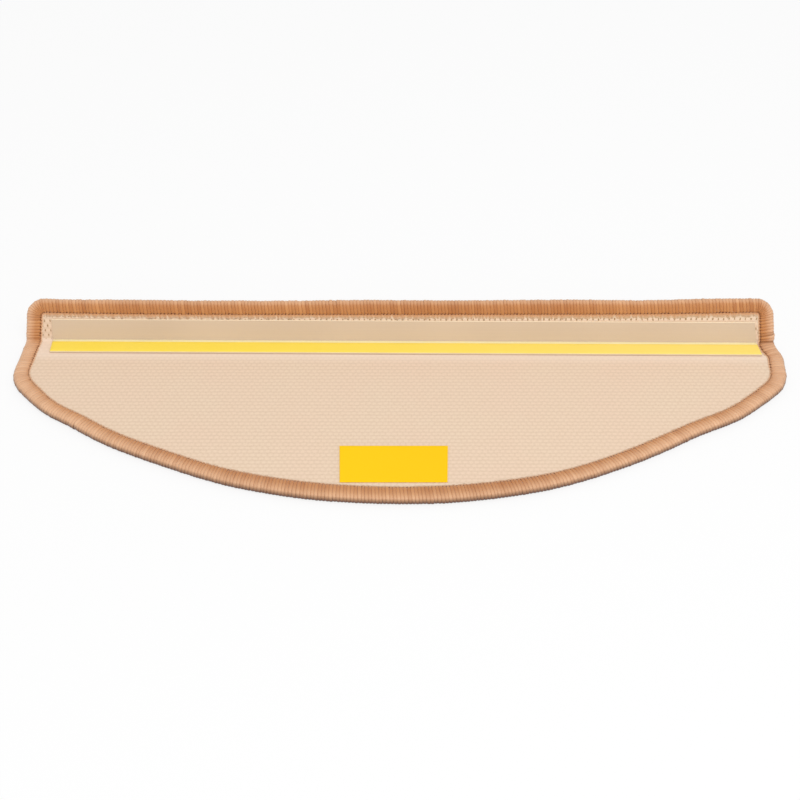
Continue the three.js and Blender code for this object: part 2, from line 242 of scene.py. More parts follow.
# %% Join the arcs and lines, smooth them, and measure along them
def drawn_outline():
    """The points of the cut, with the places where the hand left the true curves."""
    shoulder = SHOULDER_WIDTH / 2 - SHOULDER_RADIUS
    behind = TREAD_DEPTH - SIDE_LENGTH
    front = (shoulder ** 2 + behind ** 2 - SHOULDER_RADIUS ** 2) / (2 * (behind - SHOULDER_RADIUS))
    front_centre = front - TREAD_DEPTH
    turn = math.atan2(front_centre + SIDE_LENGTH, shoulder)
    corner = LIP_WIDTH / 2 - LIP_CORNER_RADIUS
    corner_along = LIP_TOP - LIP_CORNER_RADIUS
    side, fold, lip = SHOULDER_WIDTH / 2, FOLD_WIDTH / 2, LIP_WIDTH / 2
    quarter = math.pi / 2

    right_front, right_front_out = arc(0, front_centre, front, -quarter, -turn)
    left_front, left_front_out = arc(0, front_centre, front, turn - math.pi, -quarter)
    right_side, right_side_out = line(side, -SIDE_LENGTH, fold, -FOLD_SHIFT)
    tilt = corner * math.tan(LIP_TOP_TILT)
    top, top_out = line(corner, LIP_TOP - tilt, -corner, LIP_TOP + tilt)

    right_front -= right_front_out * front_inset(right_front[:, :1])
    left_front -= left_front_out * front_inset(left_front[:, :1])
    bulge = soft_dip(np.linspace(-1, 1, len(right_side)))[:, None]
    right_side += right_side_out * bulge * RIGHT_SIDE_BULGE
    top -= top_out * LIP_TOP_SAG * (1 - np.abs(top[:, :1] / corner) ** LIP_TOP_FLATNESS)

    return np.concatenate([
        right_front,
        arc(shoulder, -SIDE_LENGTH, SHOULDER_RADIUS, -turn, 0)[0],
        right_side,
        line(fold, -FOLD_SHIFT, fold, FOLD_LENGTH - FOLD_SHIFT)[0],
        line(fold, FOLD_LENGTH - FOLD_SHIFT, lip, corner_along - tilt)[0],
        arc(corner, corner_along - tilt, LIP_CORNER_RADIUS, 0, quarter)[0],
        top,
        arc(-corner, corner_along + tilt, LIP_CORNER_RADIUS, quarter, math.pi)[0],
        line(-lip, corner_along + tilt, -fold, FOLD_LENGTH + FOLD_SHIFT)[0],
        line(-fold, FOLD_LENGTH + FOLD_SHIFT, -fold, FOLD_SHIFT)[0],
        line(-fold, FOLD_SHIFT, -side, -SIDE_LENGTH)[0],
        arc(-shoulder, -SIDE_LENGTH, SHOULDER_RADIUS, -math.pi, turn - math.pi)[0],
        left_front,
    ])


def even_closed(points, step):
    """A closed line's points, spaced evenly along it."""
    closed = np.vstack([points, points[:1]])
    length = np.concatenate([[0], np.cumsum(np.linalg.norm(np.diff(closed, axis=0), axis=1))])
    count = int(round(length[-1] / step))
    at = np.arange(count) * length[-1] / count
    return np.stack([np.interp(at, length, closed[:, axis]) for axis in range(2)], axis=1)


def smoothed(values, reach):
    """Smooths values round the closed outline, over a reach given in metres."""
    steps = np.arange(-int(3 * reach / OUTLINE_STEP), int(3 * reach / OUTLINE_STEP) + 1)
    weights = np.exp(-0.5 * (steps * OUTLINE_STEP / reach) ** 2)
    shifted = [np.roll(values, step, axis=0) * weight for step, weight in zip(steps, weights)]
    return sum(shifted) / weights.sum()


RIM = smoothed(even_closed(drawn_outline(), OUTLINE_STEP), OUTLINE_SMOOTHING)
rim_direction = np.roll(RIM, -1, axis=0) - np.roll(RIM, 1, axis=0)
rim_direction /= np.linalg.norm(rim_direction, axis=1)[:, None]
RIM_OUTWARD = np.stack([rim_direction[:, 1], -rim_direction[:, 0]], axis=1)
rim_steps = np.linalg.norm(np.roll(RIM, -1, axis=0) - RIM, axis=1)
RIM_LENGTH = rim_steps.sum()
RIM_AT = np.concatenate([[0], np.cumsum(rim_steps)])


def on_rim(at, values):
    """Reads values that were taken round the rim at lengths along it."""
    closed = np.concatenate([values, values[:1]])
    at = np.mod(at, RIM_LENGTH)
    if closed.ndim == 1:
        return np.interp(at, RIM_AT, closed)
    columns = [np.interp(at, RIM_AT, closed[:, axis]) for axis in range(closed.shape[1])]
    return np.stack(columns, axis=-1)


def from_rim(at, out, up):
    """Places points by their length round the rim, their distance out from it, and their height."""
    point = on_rim(at, RIM)
    outward = on_rim(at, RIM_OUTWARD)
    return folded(point[..., 0] + outward[..., 0] * out, point[..., 1] + outward[..., 1] * out, up)


def soft_step(value):
    """Rises softly from 0 to 1 as the value does."""
    value = np.clip(value, 0, 1)
    return value ** 2 * (3 - 2 * value)


print("the edge to be whipped is", round(RIM_LENGTH / MM), "mm long")

# %% [markdown]
# The whipping isn't equally wide all round. It is widest in the middle of the front, spreads where
# the fold crushes it at the right, and is a little narrower along the top of the lip. Its outer
# third stays as it is, and only its inner line moves.

# %% How wide the whipping is
LIP_TOP_NARROWER = 1.2 * MM
CRUSHED_ALONG = -5 * MM
CRUSHED_REACH = 14 * MM
CRUSHED_WIDENING = 1.2 * MM
WIDENS_FROM = 1 / 3


def extra_width(at):
    """How much wider than on the sides the whipping is, at lengths round the rim."""
    place, outward = on_rim(at, RIM), on_rim(at, RIM_OUTWARD)
    front = (FRONT_BINDING_WIDTH - BINDING_WIDTH) * soft_dip(place[..., 0] / FRONT_BINDING_REACH)
    crushed = CRUSHED_WIDENING * soft_dip((place[..., 1] - CRUSHED_ALONG) / CRUSHED_REACH)
    lip_top = LIP_TOP_NARROWER * np.clip(outward[..., 1], 0, 1) ** 2
    return front * (place[..., 1] < 0) + crushed * (place[..., 0] > 0) - lip_top


def moved_in(at, inward):
    """How far the extra width moves a point in, from 0 in the outer third to all of it at the holes."""
    return np.clip((inward - WIDENS_FROM) / (1 - WIDENS_FROM), 0, 1) * extra_width(at)


widths = (BINDING_WIDTH + extra_width(RIM_AT[:-1])) / MM
print("the whipping is", widths.min().round(1), "to", widths.max().round(1), "mm wide")

# %% [markdown]
# ## Tools for meshes and materials
#
# A few small helpers keep the rest short. One turns points and faces into an object that rides on
# the part's one body and stands for the solids that it dresses. Another adds one node to a
# material, with its settings and its links, and a third puts finished materials on a piece.

# %% Helpers
def new_piece(name, points, faces, replaces=()):
    """Makes a mesh object from points and faces, and hands it over to the part's body."""
    mesh = bpy.data.meshes.new(name)
    mesh.from_pydata(np.asarray(points).reshape(-1, 3).tolist(), [], faces)
    mesh.validate()
    mesh.polygons.foreach_set("use_smooth", [True] * len(mesh.polygons))
    piece = bpy.data.objects.new(name, mesh)
    bpy.context.scene.collection.objects.link(piece)
    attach(piece, "root")
    if replaces:
        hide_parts(*replaces)
    triangles = sum(len(polygon.vertices) - 2 for polygon in mesh.polygons)
    print(name, "has", triangles, "triangles")
    return piece


def keep_values(piece, name, values, kind="FLOAT_VECTOR"):
    """Keeps a value or a vector for each point of the mesh, for its material to read."""
    attribute = piece.data.attributes.new(name, kind, "POINT")
    field = "vector" if kind == "FLOAT_VECTOR" else "value"
    attribute.data.foreach_set(field, np.asarray(values, dtype=np.float32).ravel())


def linear(hex_colour):
    """Turns an sRGB colour, written as six hex digits, into Blender's linear colour."""
    colour = []
    for place in (1, 3, 5):
        part = int(hex_colour[place:place + 2], 16) / 255
        colour.append(part / 12.92 if part <= 0.04045 else ((part + 0.055) / 1.055) ** 2.4)
    return (*colour, 1.0)


def new_material(name):
    """Makes an empty node material and gives it with its node tree."""
    material = bpy.data.materials.new(name)
    material.use_nodes = True
    material.node_tree.nodes.clear()
    return material, material.node_tree


def add(tree, kind, inputs=None, **settings):
    """Adds a node: its settings are set, and each input takes a value or the socket that feeds it."""
    node = tree.nodes.new(kind)
    for setting, value in settings.items():
        setattr(node, setting, value)
    for place, value in (inputs or {}).items():
        if isinstance(value, bpy.types.NodeSocket):
            tree.links.new(value, node.inputs[place])
        else:
            node.inputs[place].default_value = value
    return node


def dress(piece, *materials):
    """Puts materials on a piece and tells how many nodes each has."""
    for material in materials:
        piece.data.materials.append(material)
        print(piece.name, "wears", material.name, "with", len(material.node_tree.nodes), "nodes")


# %% [markdown]
# ## Camera
#
# The photograph looks down on the mat from the front at 39 degrees, through a fairly long lens, so
# that the lip behind is only a little narrower than the front. The camera stands at the distance at
# which the perspective of the modelled outline matches the photograph's.

# %% Camera
CAMERA_HEIGHT_ANGLE = math.radians(39)
CAMERA_DISTANCE = 1350.4 * MM
LENS = 73.35
SENSOR = 36
LOOK_AT = Vector((PLACE[0], 20.2 * MM, 0))

camera_data = bpy.data.cameras.new("camera")
camera_data.lens = LENS
camera_data.sensor_width = SENSOR
camera_data.sensor_fit = "HORIZONTAL"
camera = bpy.data.objects.new("camera", camera_data)
bpy.context.scene.collection.objects.link(camera)
to_camera = Vector((0, -math.cos(CAMERA_HEIGHT_ANGLE), math.sin(CAMERA_HEIGHT_ANGLE)))
camera.location = LOOK_AT + to_camera * CAMERA_DISTANCE
camera.rotation_euler = (-to_camera).to_track_quat("-Z", "Y").to_euler()
bpy.context.scene.camera = camera
print("camera at", [round(value, 3) for value in camera.location])

# %% [markdown]
# ## Backing cloth
#
# The underside of the carpet is laminated to a cream synthetic cloth with a fine staggered weave:
# flat light floats, each a little wider than it is long, with thin darker gaps between them. At
# this distance it is a soft texture, so it is drawn in the material: two cosines multiplied give
# the staggered lozenges, slightly pushed about by noise as real threads are. Modelling each thread
# would take millions of faces for something a tenth of a millimetre high.
#
# Two things change with the distance from the fold. Beside the plastic angle the cloth is painted
# paler: painted light that lifts the shade which the raised angle and its tape leave on the cloth in
# front of them. On the lip, past the angle, the gaps between the floats show as small brown dots.
#
# The attribute "cut_place" holds a point's across and along on the flat cut, in millimetres, so
# that the weave runs on through the fold as the real one does.

# %% Sizes and colours of the backing cloth
# Lengths in millimetres of the flat cut, where the weave repeats as it does in the photograph
FLOAT_PITCH = 4.65
FLOAT_ROW_PAIR = 8.6
THREAD_SHAKE = 1.6
SHAKE_LENGTH = 10 / 3
SLUB_LENGTH = 20 / 3
SLUB_WIDTH = 5 / 3
FIBRE_CLUMP = 1.25
WARM_CLOUD = 200 / 3
LIP_DOTS_START = 3
LIP_DOTS_FULL = 12
PAINTED_LIGHT_REACH = 14

# How much of the change from gap to float each of the patterns makes
ROW_SHARE = 0.6
SLUB_SHARE = 0.5
FIBRE_SHARE = 1.36
FIBRE_RELIEF = 0.4
DOT_UNEVENNESS = 0.6
PAINTED_LIGHT_SHARE = 0.55

# Between which values of its wave or noise each pattern goes from one colour to the other
FLOAT_EDGE = (-0.7, 0.15)
ROW_EDGE = (-1.0, 0.5)
WARM_EDGE = (0.35, 0.65)
DOT_EDGE = (-0.15, -0.75)

CLOTH_FLOAT = "#ecd4ba"
CLOTH_FLOAT_WARM = "#edd2b9"
CLOTH_GAP = "#dfc4a9"
CLOTH_DOT = "#a07c50"
CLOTH_PAINTED_LIGHT = "#f8e4d2"
WEAVE_HEIGHT = 0.12 * MM

# A Mix node's colour sockets by their numbers, because all its data types use the same names
MIX_A, MIX_B, MIX_RESULT = 6, 7, 2
print("a float is", FLOAT_PITCH, "mm wide and", FLOAT_ROW_PAIR / 2, "mm long")


# %% Backing cloth material
def woven_backing():
    """Woven polypropylene cloth: matt flat floats with thin darker gaps, staggered row by row."""
    material, tree = new_material("woven_polypropylene_backing")
    place = add(tree, "ShaderNodeAttribute", attribute_name="cut_place").outputs["Vector"]
    shake = add(tree, "ShaderNodeTexNoise", {"Vector": place, "Scale": 1 / SHAKE_LENGTH, "Detail": 2.0})
    centred = add(tree, "ShaderNodeVectorMath", {0: shake.outputs["Color"], 1: (0.5, 0.5, 0.5)},
                  operation="SUBTRACT")
    shaken = add(tree, "ShaderNodeVectorMath",
                 {0: centred.outputs[0], 1: (THREAD_SHAKE,) * 3, 2: place}, operation="MULTIPLY_ADD")
    axes = add(tree, "ShaderNodeSeparateXYZ", {0: shaken.outputs[0]})
    waves = []
    for axis, length in (("X", FLOAT_PITCH), ("Y", FLOAT_ROW_PAIR)):
        turn = add(tree, "ShaderNodeMath", {0: axes.outputs[axis], 1: 2 * math.pi / length},
                   operation="MULTIPLY")
        waves.append(add(tree, "ShaderNodeMath", {0: turn.outputs[0]}, operation="COSINE"))
    lattice = add(tree, "ShaderNodeMath", {0: waves[0].outputs[0], 1: waves[1].outputs[0]},
                  operation="MULTIPLY")
    floats = add(tree, "ShaderNodeMapRange",
                 {"Value": lattice.outputs[0], "From Min": FLOAT_EDGE[0], "From Max": FLOAT_EDGE[1],
                  "To Max": 1 - ROW_SHARE}, interpolation_type="SMOOTHSTEP")
    row_turn = add(tree, "ShaderNodeMath", {0: axes.outputs["Y"], 1: 4 * math.pi / FLOAT_ROW_PAIR},
                   operation="MULTIPLY")
    row_wave = add(tree, "ShaderNodeMath", {0: row_turn.outputs[0]}, operation="COSINE")
    rows = add(tree, "ShaderNodeMapRange",
               {"Value": row_wave.outputs[0], "From Min": ROW_EDGE[0], "From Max": ROW_EDGE[1],
                "To Max": ROW_SHARE}, interpolation_type="SMOOTHSTEP")
    woven = add(tree, "ShaderNodeMath", {0: floats.outputs[0], 1: rows.outputs[0]}, operation="ADD")
    drawn = add(tree, "ShaderNodeVectorMath", {0: place, 1: (1 / SLUB_LENGTH, 1 / SLUB_WIDTH, 1.0)},
                operation="MULTIPLY")
    slub = add(tree, "ShaderNodeTexNoise", {"Vector": drawn.outputs[0], "Scale": 1.0, "Detail": 2.0})
    uneven = add(tree, "ShaderNodeMath", {0: slub.outputs["Fac"], 1: SLUB_SHARE, 2: -SLUB_SHARE / 2},
                 operation="MULTIPLY_ADD")
    fibre = add(tree, "ShaderNodeTexNoise", {"Vector": place, "Scale": 1 / FIBRE_CLUMP, "Detail": 3.0})
    speckle = add(tree, "ShaderNodeMath", {0: fibre.outputs["Fac"], 1: FIBRE_SHARE, 2: -FIBRE_SHARE / 2},
                  operation="MULTIPLY_ADD")
    thready = add(tree, "ShaderNodeMath", {0: uneven.outputs[0], 1: speckle.outputs[0]}, operation="ADD")
    cover = add(tree, "ShaderNodeMath", {0: woven.outputs[0], 1: thready.outputs[0]}, operation="ADD",
                use_clamp=True)
    height = add(tree, "ShaderNodeMath", {0: fibre.outputs["Fac"], 1: FIBRE_RELIEF, 2: cover.outputs[0]},
                 operation="MULTIPLY_ADD")
    bump = add(tree, "ShaderNodeBump",
               {"Height": height.outputs[0], "Strength": 0.35, "Distance": WEAVE_HEIGHT})
    cloud = add(tree, "ShaderNodeTexNoise", {"Vector": place, "Scale": 1 / WARM_CLOUD, "Detail": 2.0})
    warm = add(tree, "ShaderNodeMapRange",
               {"Value": cloud.outputs["Fac"], "From Min": WARM_EDGE[0], "From Max": WARM_EDGE[1]})
    top = add(tree, "ShaderNodeMix", {0: warm.outputs[0], MIX_A: linear(CLOTH_FLOAT),
                                      MIX_B: linear(CLOTH_FLOAT_WARM)}, data_type="RGBA")
    cloth = add(tree, "ShaderNodeMix", {0: cover.outputs[0], MIX_A: linear(CLOTH_GAP),
                                        MIX_B: top.outputs[MIX_RESULT]}, data_type="RGBA")
    from_fold = add(tree, "ShaderNodeVectorMath",
                    {0: place, 1: (math.sin(FOLD_SKEW), math.cos(FOLD_SKEW), 0.0)},
                    operation="DOT_PRODUCT")
    angle_edge = -ANGLE_TREAD_LEG / MM
    # In front of the angle the cloth is painted paler, painted light over the shade of the raised angle
    painted_light = add(tree, "ShaderNodeMapRange",
                {"Value": from_fold.outputs["Value"], "From Min": angle_edge - PAINTED_LIGHT_REACH,
                 "From Max": angle_edge, "To Max": PAINTED_LIGHT_SHARE}, interpolation_type="SMOOTHSTEP")
    on_lip = add(tree, "ShaderNodeMapRange",
                 {"Value": from_fold.outputs["Value"], "From Min": LIP_DOTS_START,
                  "From Max": LIP_DOTS_FULL})
    band = add(tree, "ShaderNodeMath", {0: painted_light.outputs[0], 1: on_lip.outputs[0]}, operation="SUBTRACT",
               use_clamp=True)
    lit_cloth = add(tree, "ShaderNodeMix", {0: band.outputs[0], MIX_A: cloth.outputs[MIX_RESULT],
                                            MIX_B: linear(CLOTH_PAINTED_LIGHT)}, data_type="RGBA")
    uneven_dot = add(tree, "ShaderNodeMath",
                     {0: slub.outputs["Fac"], 1: DOT_UNEVENNESS, 2: lattice.outputs[0]},
                     operation="MULTIPLY_ADD")
    dots = add(tree, "ShaderNodeMapRange",
               {"Value": uneven_dot.outputs[0], "From Min": DOT_EDGE[0], "From Max": DOT_EDGE[1]},
               interpolation_type="SMOOTHSTEP")
    lip_dots = add(tree, "ShaderNodeMath", {0: dots.outputs[0], 1: on_lip.outputs[0]},
                   operation="MULTIPLY")
    colour = add(tree, "ShaderNodeMix", {0: lip_dots.outputs[0], MIX_A: lit_cloth.outputs[MIX_RESULT],
                                         MIX_B: linear(CLOTH_DOT)}, data_type="RGBA")
    shader = add(tree, "ShaderNodeBsdfPrincipled",
                 {"Base Color": colour.outputs[MIX_RESULT], "Roughness": 0.85, "IOR": 1.49,
                  "Normal": bump.outputs[0]})
    add(tree, "ShaderNodeOutputMaterial", {"Surface": shader.outputs[0]})
    return material


# %% [markdown]
# ## Carpet face
#
# The face that is walked on lies on the floor here, and only the back of the lip shows it. Such
# mats have a short dense needle-felt pile in the colour of the yarn. Felt has no direction and no
# gloss: it is soft tufts a millimetre or two wide, a little lighter at their tips, and the darker
# colour down between them is painted shade.

# %% Carpet face material
PILE_TIP = "#d6a883"
PILE_PAINTED_SHADE = "#9c6c48"
PILE_HEIGHT = 0.6 * MM

# A tuft's size in millimetres, how far from its tip its root is reached as a share of that size,
# the fibres in a millimetre and their share in the height, and where the painted shade at the roots
# turns to the tip's colour
TUFT_SIZE = 1.6
TUFT_ROOT = 0.8
PILE_FIBRES_PER_MM = 2.2
PILE_FIBRE_RELIEF = 0.8
PILE_SHADE_EDGE = (0.1, 0.45)


def needle_felt():
    """Needle-punched felt: fibres with no direction, matt, with a faint sheen at grazing angles."""
    material, tree = new_material("needle_felt_carpet")
    place = add(tree, "ShaderNodeAttribute", attribute_name="cut_place").outputs["Vector"]
    tufts = add(tree, "ShaderNodeTexVoronoi",
                {"Vector": place, "Scale": 1 / TUFT_SIZE, "Randomness": 1.0})
    tips = add(tree, "ShaderNodeMapRange", {"Value": tufts.outputs["Distance"], "From Min": 0.0,
                                            "From Max": TUFT_ROOT, "To Min": 1.0, "To Max": 0.0})
    fibre = add(tree, "ShaderNodeTexNoise",
                {"Vector": place, "Scale": PILE_FIBRES_PER_MM, "Detail": 4.0})
    height = add(tree, "ShaderNodeMath",
                 {0: fibre.outputs["Fac"], 1: PILE_FIBRE_RELIEF, 2: tips.outputs[0]},
                 operation="MULTIPLY_ADD")
    bump = add(tree, "ShaderNodeBump",
               {"Height": height.outputs[0], "Strength": 0.8, "Distance": PILE_HEIGHT})
    mixed = add(tree, "ShaderNodeMath", {0: tips.outputs[0], 1: fibre.outputs["Fac"]},
                operation="MULTIPLY")
    light = add(tree, "ShaderNodeMapRange",
                {"Value": mixed.outputs[0], "From Min": PILE_SHADE_EDGE[0], "From Max": PILE_SHADE_EDGE[1]})
    # Painted shade: darker towards the tufts' roots, where the bump is low
    colour = add(tree, "ShaderNodeMix", {0: light.outputs[0], MIX_A: linear(PILE_PAINTED_SHADE),
                                         MIX_B: linear(PILE_TIP)}, data_type="RGBA")
    shader = add(tree, "ShaderNodeBsdfPrincipled",
                 {"Base Color": colour.outputs[MIX_RESULT], "Roughness": 0.95, "IOR": 1.49,
                  "Sheen Weight": 0.25, "Sheen Roughness": 0.5, "Normal": bump.outputs[0]})
    add(tree, "ShaderNodeOutputMaterial", {"Surface": shader.outputs[0]})
    return material


# %% [markdown]
# ## The folded sheet
#
# The sheet is one closed body. Its faces are a grid of rows that run parallel to the fold line,
# so that the fold rolls cleanly between two rows, and of columns that spread out to the sides. Its
# edge is hidden under the yarn, where the pile is pressed flat. The rows are found on the inner
# line of the binding: each row takes the two points where that line crosses its distance from the
# fold.

# %% Rows and columns of the sheet
SHEET_CELL = 4 * MM
FACE_MARGIN = 0.6 * MM
FOLD_ROWS = 10
LIP_ROWS = 8

inner_line = RIM - RIM_OUTWARD * (BINDING_WIDTH + FACE_MARGIN + extra_width(RIM_AT[:-1]))[:, None]
inner_along = turned(inner_line[:, 0], inner_line[:, 1], FOLD_SKEW)[1]
lip_corner = LIP_WIDTH / 2 - LIP_CORNER_RADIUS * (1 - math.sqrt(0.5))
lip_corner_along = LIP_TOP - LIP_CORNER_RADIUS * (1 - math.sqrt(0.5))
front_index = int(np.argmin(inner_along))
right_end = int(np.argmin(np.hypot(RIM[:, 0] - lip_corner, RIM[:, 1] - lip_corner_along)))
left_end = int(np.argmin(np.hypot(RIM[:, 0] + lip_corner, RIM[:, 1] - lip_corner_along)))
FRONT_AT = RIM_AT[front_index] - (RIM_LENGTH if front_index > len(RIM) / 2 else 0)
RIGHT_END_AT = RIM_AT[right_end]
LEFT_END_AT = RIM_AT[left_end]


def rows_of_sheet():
    """Each row's distance from the fold, and the lengths round the rim where it meets left and right."""
    right_at = np.arange(FRONT_AT, RIGHT_END_AT, OUTLINE_STEP)
    left_at = np.arange(RIM_LENGTH + FRONT_AT, LEFT_END_AT, -OUTLINE_STEP)
    right_along = on_rim(right_at, inner_along)
    left_along = on_rim(left_at, inner_along)
    before_fold = right_at[right_along < -SHEET_CELL][::int(SHEET_CELL / OUTLINE_STEP)][1:]
    rows = np.concatenate([
        on_rim(before_fold, inner_along),
        np.linspace(0, FOLD_LENGTH, FOLD_ROWS + 1),
        np.linspace(FOLD_LENGTH, right_along[-1], LIP_ROWS + 1)[1:-1],
    ])
    right = np.interp(rows, right_along, right_at)
    left = np.interp(rows, left_along, left_at)
    return rows, left, right


SHEET_ROWS, LEFT_AT, RIGHT_AT = rows_of_sheet()
TOP_AT = np.linspace(LEFT_END_AT, RIGHT_END_AT, int((LEFT_END_AT - RIGHT_END_AT) / SHEET_CELL) + 1)
print("the face has", len(SHEET_ROWS), "rows of", len(TOP_AT), "points")


# %% Points of the face on the flat cut
def on_inner_line(at):
    """Places on the face's own edge, just inside the whipping, at lengths round the rim."""
    return np.stack([on_rim(at, inner_line[:, 0]), on_rim(at, inner_line[:, 1])], axis=-1)


def face_points():
    """A grid of places on the cut: rows are straight up to the fold's end, then bend to the top."""
    share = np.linspace(0, 1, len(TOP_AT))[None, :, None]
    left, right = on_inner_line(LEFT_AT)[:, None], on_inner_line(RIGHT_AT)[:, None]
    straight = left * (1 - share) + right * share
    top = on_inner_line(TOP_AT)[None]
    top_straight = top[:, :1] * (1 - share) + top[:, -1:] * share
    fold_end = int(np.argmin(np.abs(SHEET_ROWS - FOLD_LENGTH)))
    rise = np.clip(np.arange(len(SHEET_ROWS)) - fold_end, 0, None) / (len(SHEET_ROWS) - fold_end)
    bent = straight + rise[:, None, None] * (top - top_straight)
    return np.concatenate([bent, top])


FACE = face_points()
FRONT_POINT = on_inner_line(np.array([FRONT_AT]))
print("the face is a grid of", FACE.shape[0], "by", FACE.shape[1], "points")


# %% Build the sheet
EDGE_INSET = 2.6 * MM
PRESSED_MARGIN = 0.3 * MM
PRESSED_UP = 1.5 * MM
SHEET_SHARP_EDGE = math.radians(40)


def folded_sheet():
    """One closed body: backing above, carpet below, and an edge that steps in where yarn presses it."""
    rows, columns = FACE.shape[:2]
    flat = np.concatenate([FRONT_POINT, FACE.reshape(-1, 2)])
    count = len(flat)
    boundary_at = np.concatenate([[FRONT_AT], RIGHT_AT, TOP_AT[::-1], LEFT_AT[::-1]])
    right_ends = 1 + np.arange(rows - 1) * columns + columns - 1
    top_row = 1 + (rows - 1) * columns + np.arange(columns)[::-1]
    left_ends = (1 + np.arange(rows - 1) * columns)[::-1]
    boundary = np.concatenate([[0], right_ends, top_row, left_ends])

    pressed = BINDING_WIDTH + PRESSED_MARGIN + extra_width(boundary_at)
    rings = [(-EDGE_INSET, SHEET_THICKNESS), (-EDGE_INSET, PRESSED_UP), (-pressed, PRESSED_UP)]
    points = [folded(flat[:, 0], flat[:, 1], SHEET_THICKNESS), folded(flat[:, 0], flat[:, 1], 0)]
    points += [from_rim(boundary_at, out, up) for out, up in rings]
    places = [flat, flat]
    for out, up in rings:
        outward = on_rim(boundary_at, RIM_OUTWARD)
        places.append(on_rim(boundary_at, RIM) + outward * np.reshape(out, (-1, 1)))

    def loop(level):
        """The points of one closed line: 0 is the backing's edge, 1 the carpet's, then the rings."""
        if level < 2:
            return boundary + level * count
        return 2 * count + (level - 2) * len(boundary) + np.arange(len(boundary))

    top_faces = [(0, 1 + column + 1, 1 + column) for column in range(columns - 1)]
    for row in range(rows - 1):
        first = 1 + row * columns
        for column in range(columns - 1):
            here = first + column
            top_faces.append((here, here + 1, here + columns + 1, here + columns))
    faces = [face if len(face) == 4 else face[::-1] for face in top_faces]
    backing_count = len(faces)
    faces += [tuple(index + count for index in face[::-1]) for face in faces[:backing_count]]
    chain = [0, 2, 3, 4, 1]
    for upper, lower in zip(chain[:-1], chain[1:]):
        a, b = loop(upper), loop(lower)
        a_next, b_next = np.roll(a, -1), np.roll(b, -1)
        faces += np.stack([a, b, b_next, a_next], axis=1).tolist()

    sheet = new_piece("mat_sheet", np.concatenate(points), faces, ["mat_body"])
    cut_place = np.concatenate(places) / MM
    keep_values(sheet, "cut_place", np.column_stack([cut_place, np.zeros(len(cut_place))]))
    dress(sheet, woven_backing(), needle_felt())
    under_yarn = slice(2 * backing_count, 2 * backing_count + len(boundary))
    is_carpet = np.ones(len(sheet.data.polygons), dtype=int)
    is_carpet[:backing_count] = 0
    is_carpet[under_yarn] = 0
    sheet.data.polygons.foreach_set("material_index", is_carpet)
    sheet.data.set_sharp_from_angle(angle=SHEET_SHARP_EDGE)
    return sheet


mat_sheet = folded_sheet()

# %% [markdown]
# ## Whipped yarn
#
# The edge is whipped by machine with a thick soft synthetic yarn: each turn comes up through the
# backing, goes over the edge, round underneath and up again a little further on. Every turn is
# modelled, because their rounded backs make the edge's outline, its gloss and its dotted inner
# line. A turn is a flattened tube, laid along a path across the edge; turns lie a little unevenly,
# as a machine's feed leaves them. Curves with a bevel would be quicker to write, but cannot be
# squeezed where the edge turns a corner.

# %% Path of one turn of yarn
YARN_THICKNESS = 1.25 * MM
NOSE_RADIUS = BINDING_TOP / 2
NOSE_ANGLES = np.radians([75, 45, 15, -15, -45, -75])

# Places on the path, in millimetres out from the whipping's inner line and up from the floor: the
# rise from the needle's hole above, and the way back into it below
RISE_FROM_HOLE = [(-0.25, 5.6), (-0.2, 6.6), (0.3, 7.15), (1.5, 7.5)]
BACK_TO_HOLE = (-0.2, 1.6)

# Where the yarn comes to the top, is highest and comes to the floor, as shares of the whipping's
# width in from the edge, and where it leaves the floor, out from the inner line
CROWN_START = 0.7
CROWN_TOP = 0.5
FLOOR_START = 0.55
FLOOR_END = 0.9 * MM

# How far the yarn's middle is then below the top and above the floor, in halves of its thickness
CROWN_SINK = 1.05
FLOOR_LIFT = 1.1

yarn_half = YARN_THICKNESS / 2
path_radius = NOSE_RADIUS - yarn_half
rise = [(out * MM - BINDING_WIDTH, up * MM) for out, up in RISE_FROM_HOLE]
crown = [
    (-CROWN_START * BINDING_WIDTH, BINDING_TOP - CROWN_SINK * yarn_half),
    (-CROWN_TOP * BINDING_WIDTH, BINDING_TOP - yarn_half),
]
nose = [(path_radius * math.cos(angle) - NOSE_RADIUS, path_radius * math.sin(angle) + NOSE_RADIUS)
        for angle in NOSE_ANGLES]
under = [
    (-FLOOR_START * BINDING_WIDTH, yarn_half),
    (FLOOR_END - BINDING_WIDTH, FLOOR_LIFT * yarn_half),
    (BACK_TO_HOLE[0] * MM - BINDING_WIDTH, BACK_TO_HOLE[1] * MM),
]
TURN_PATH = np.array(rise + crown + nose + under)
print("a turn's path has", len(TURN_PATH), "places, from the needle's hole back to it")

# For each place of the path: the yarn's share of its full width, and how much painted shade darkens
# it, first at the needle's hole, then on the tread part, where the edge turns under towards the floor
# and away from the light
TURN_WIDTH = np.array([0.55, 0.75, 0.92, 1.0, 1.0, 1.0] + [1.0] * len(nose) + [1.0, 0.9, 0.6])
HOLE_PAINTED_SHADE = np.array([0.8, 0.45, 0.1] + [0.0] * (len(TURN_PATH) - 3))
UNDER_PAINTED_SHADE = np.array([0.0] * 6 + [0.0, 0.07, 0.6, 1.0, 1.0, 0.8] + [0.3, 0.15, 0.3])


# %% Soft random values
def soft_random(rng, count, reach):
    """Random values for a closed ring, smoothed over a number of neighbours, with a spread of 1."""
    steps = np.arange(-3 * reach, 3 * reach + 1)
    weights = np.exp(-0.5 * (steps / reach) ** 2)
    raw = rng.normal(size=count)
    smooth = sum(np.roll(raw, step) * weight for step, weight in zip(steps, weights))
    return smooth / smooth.std()
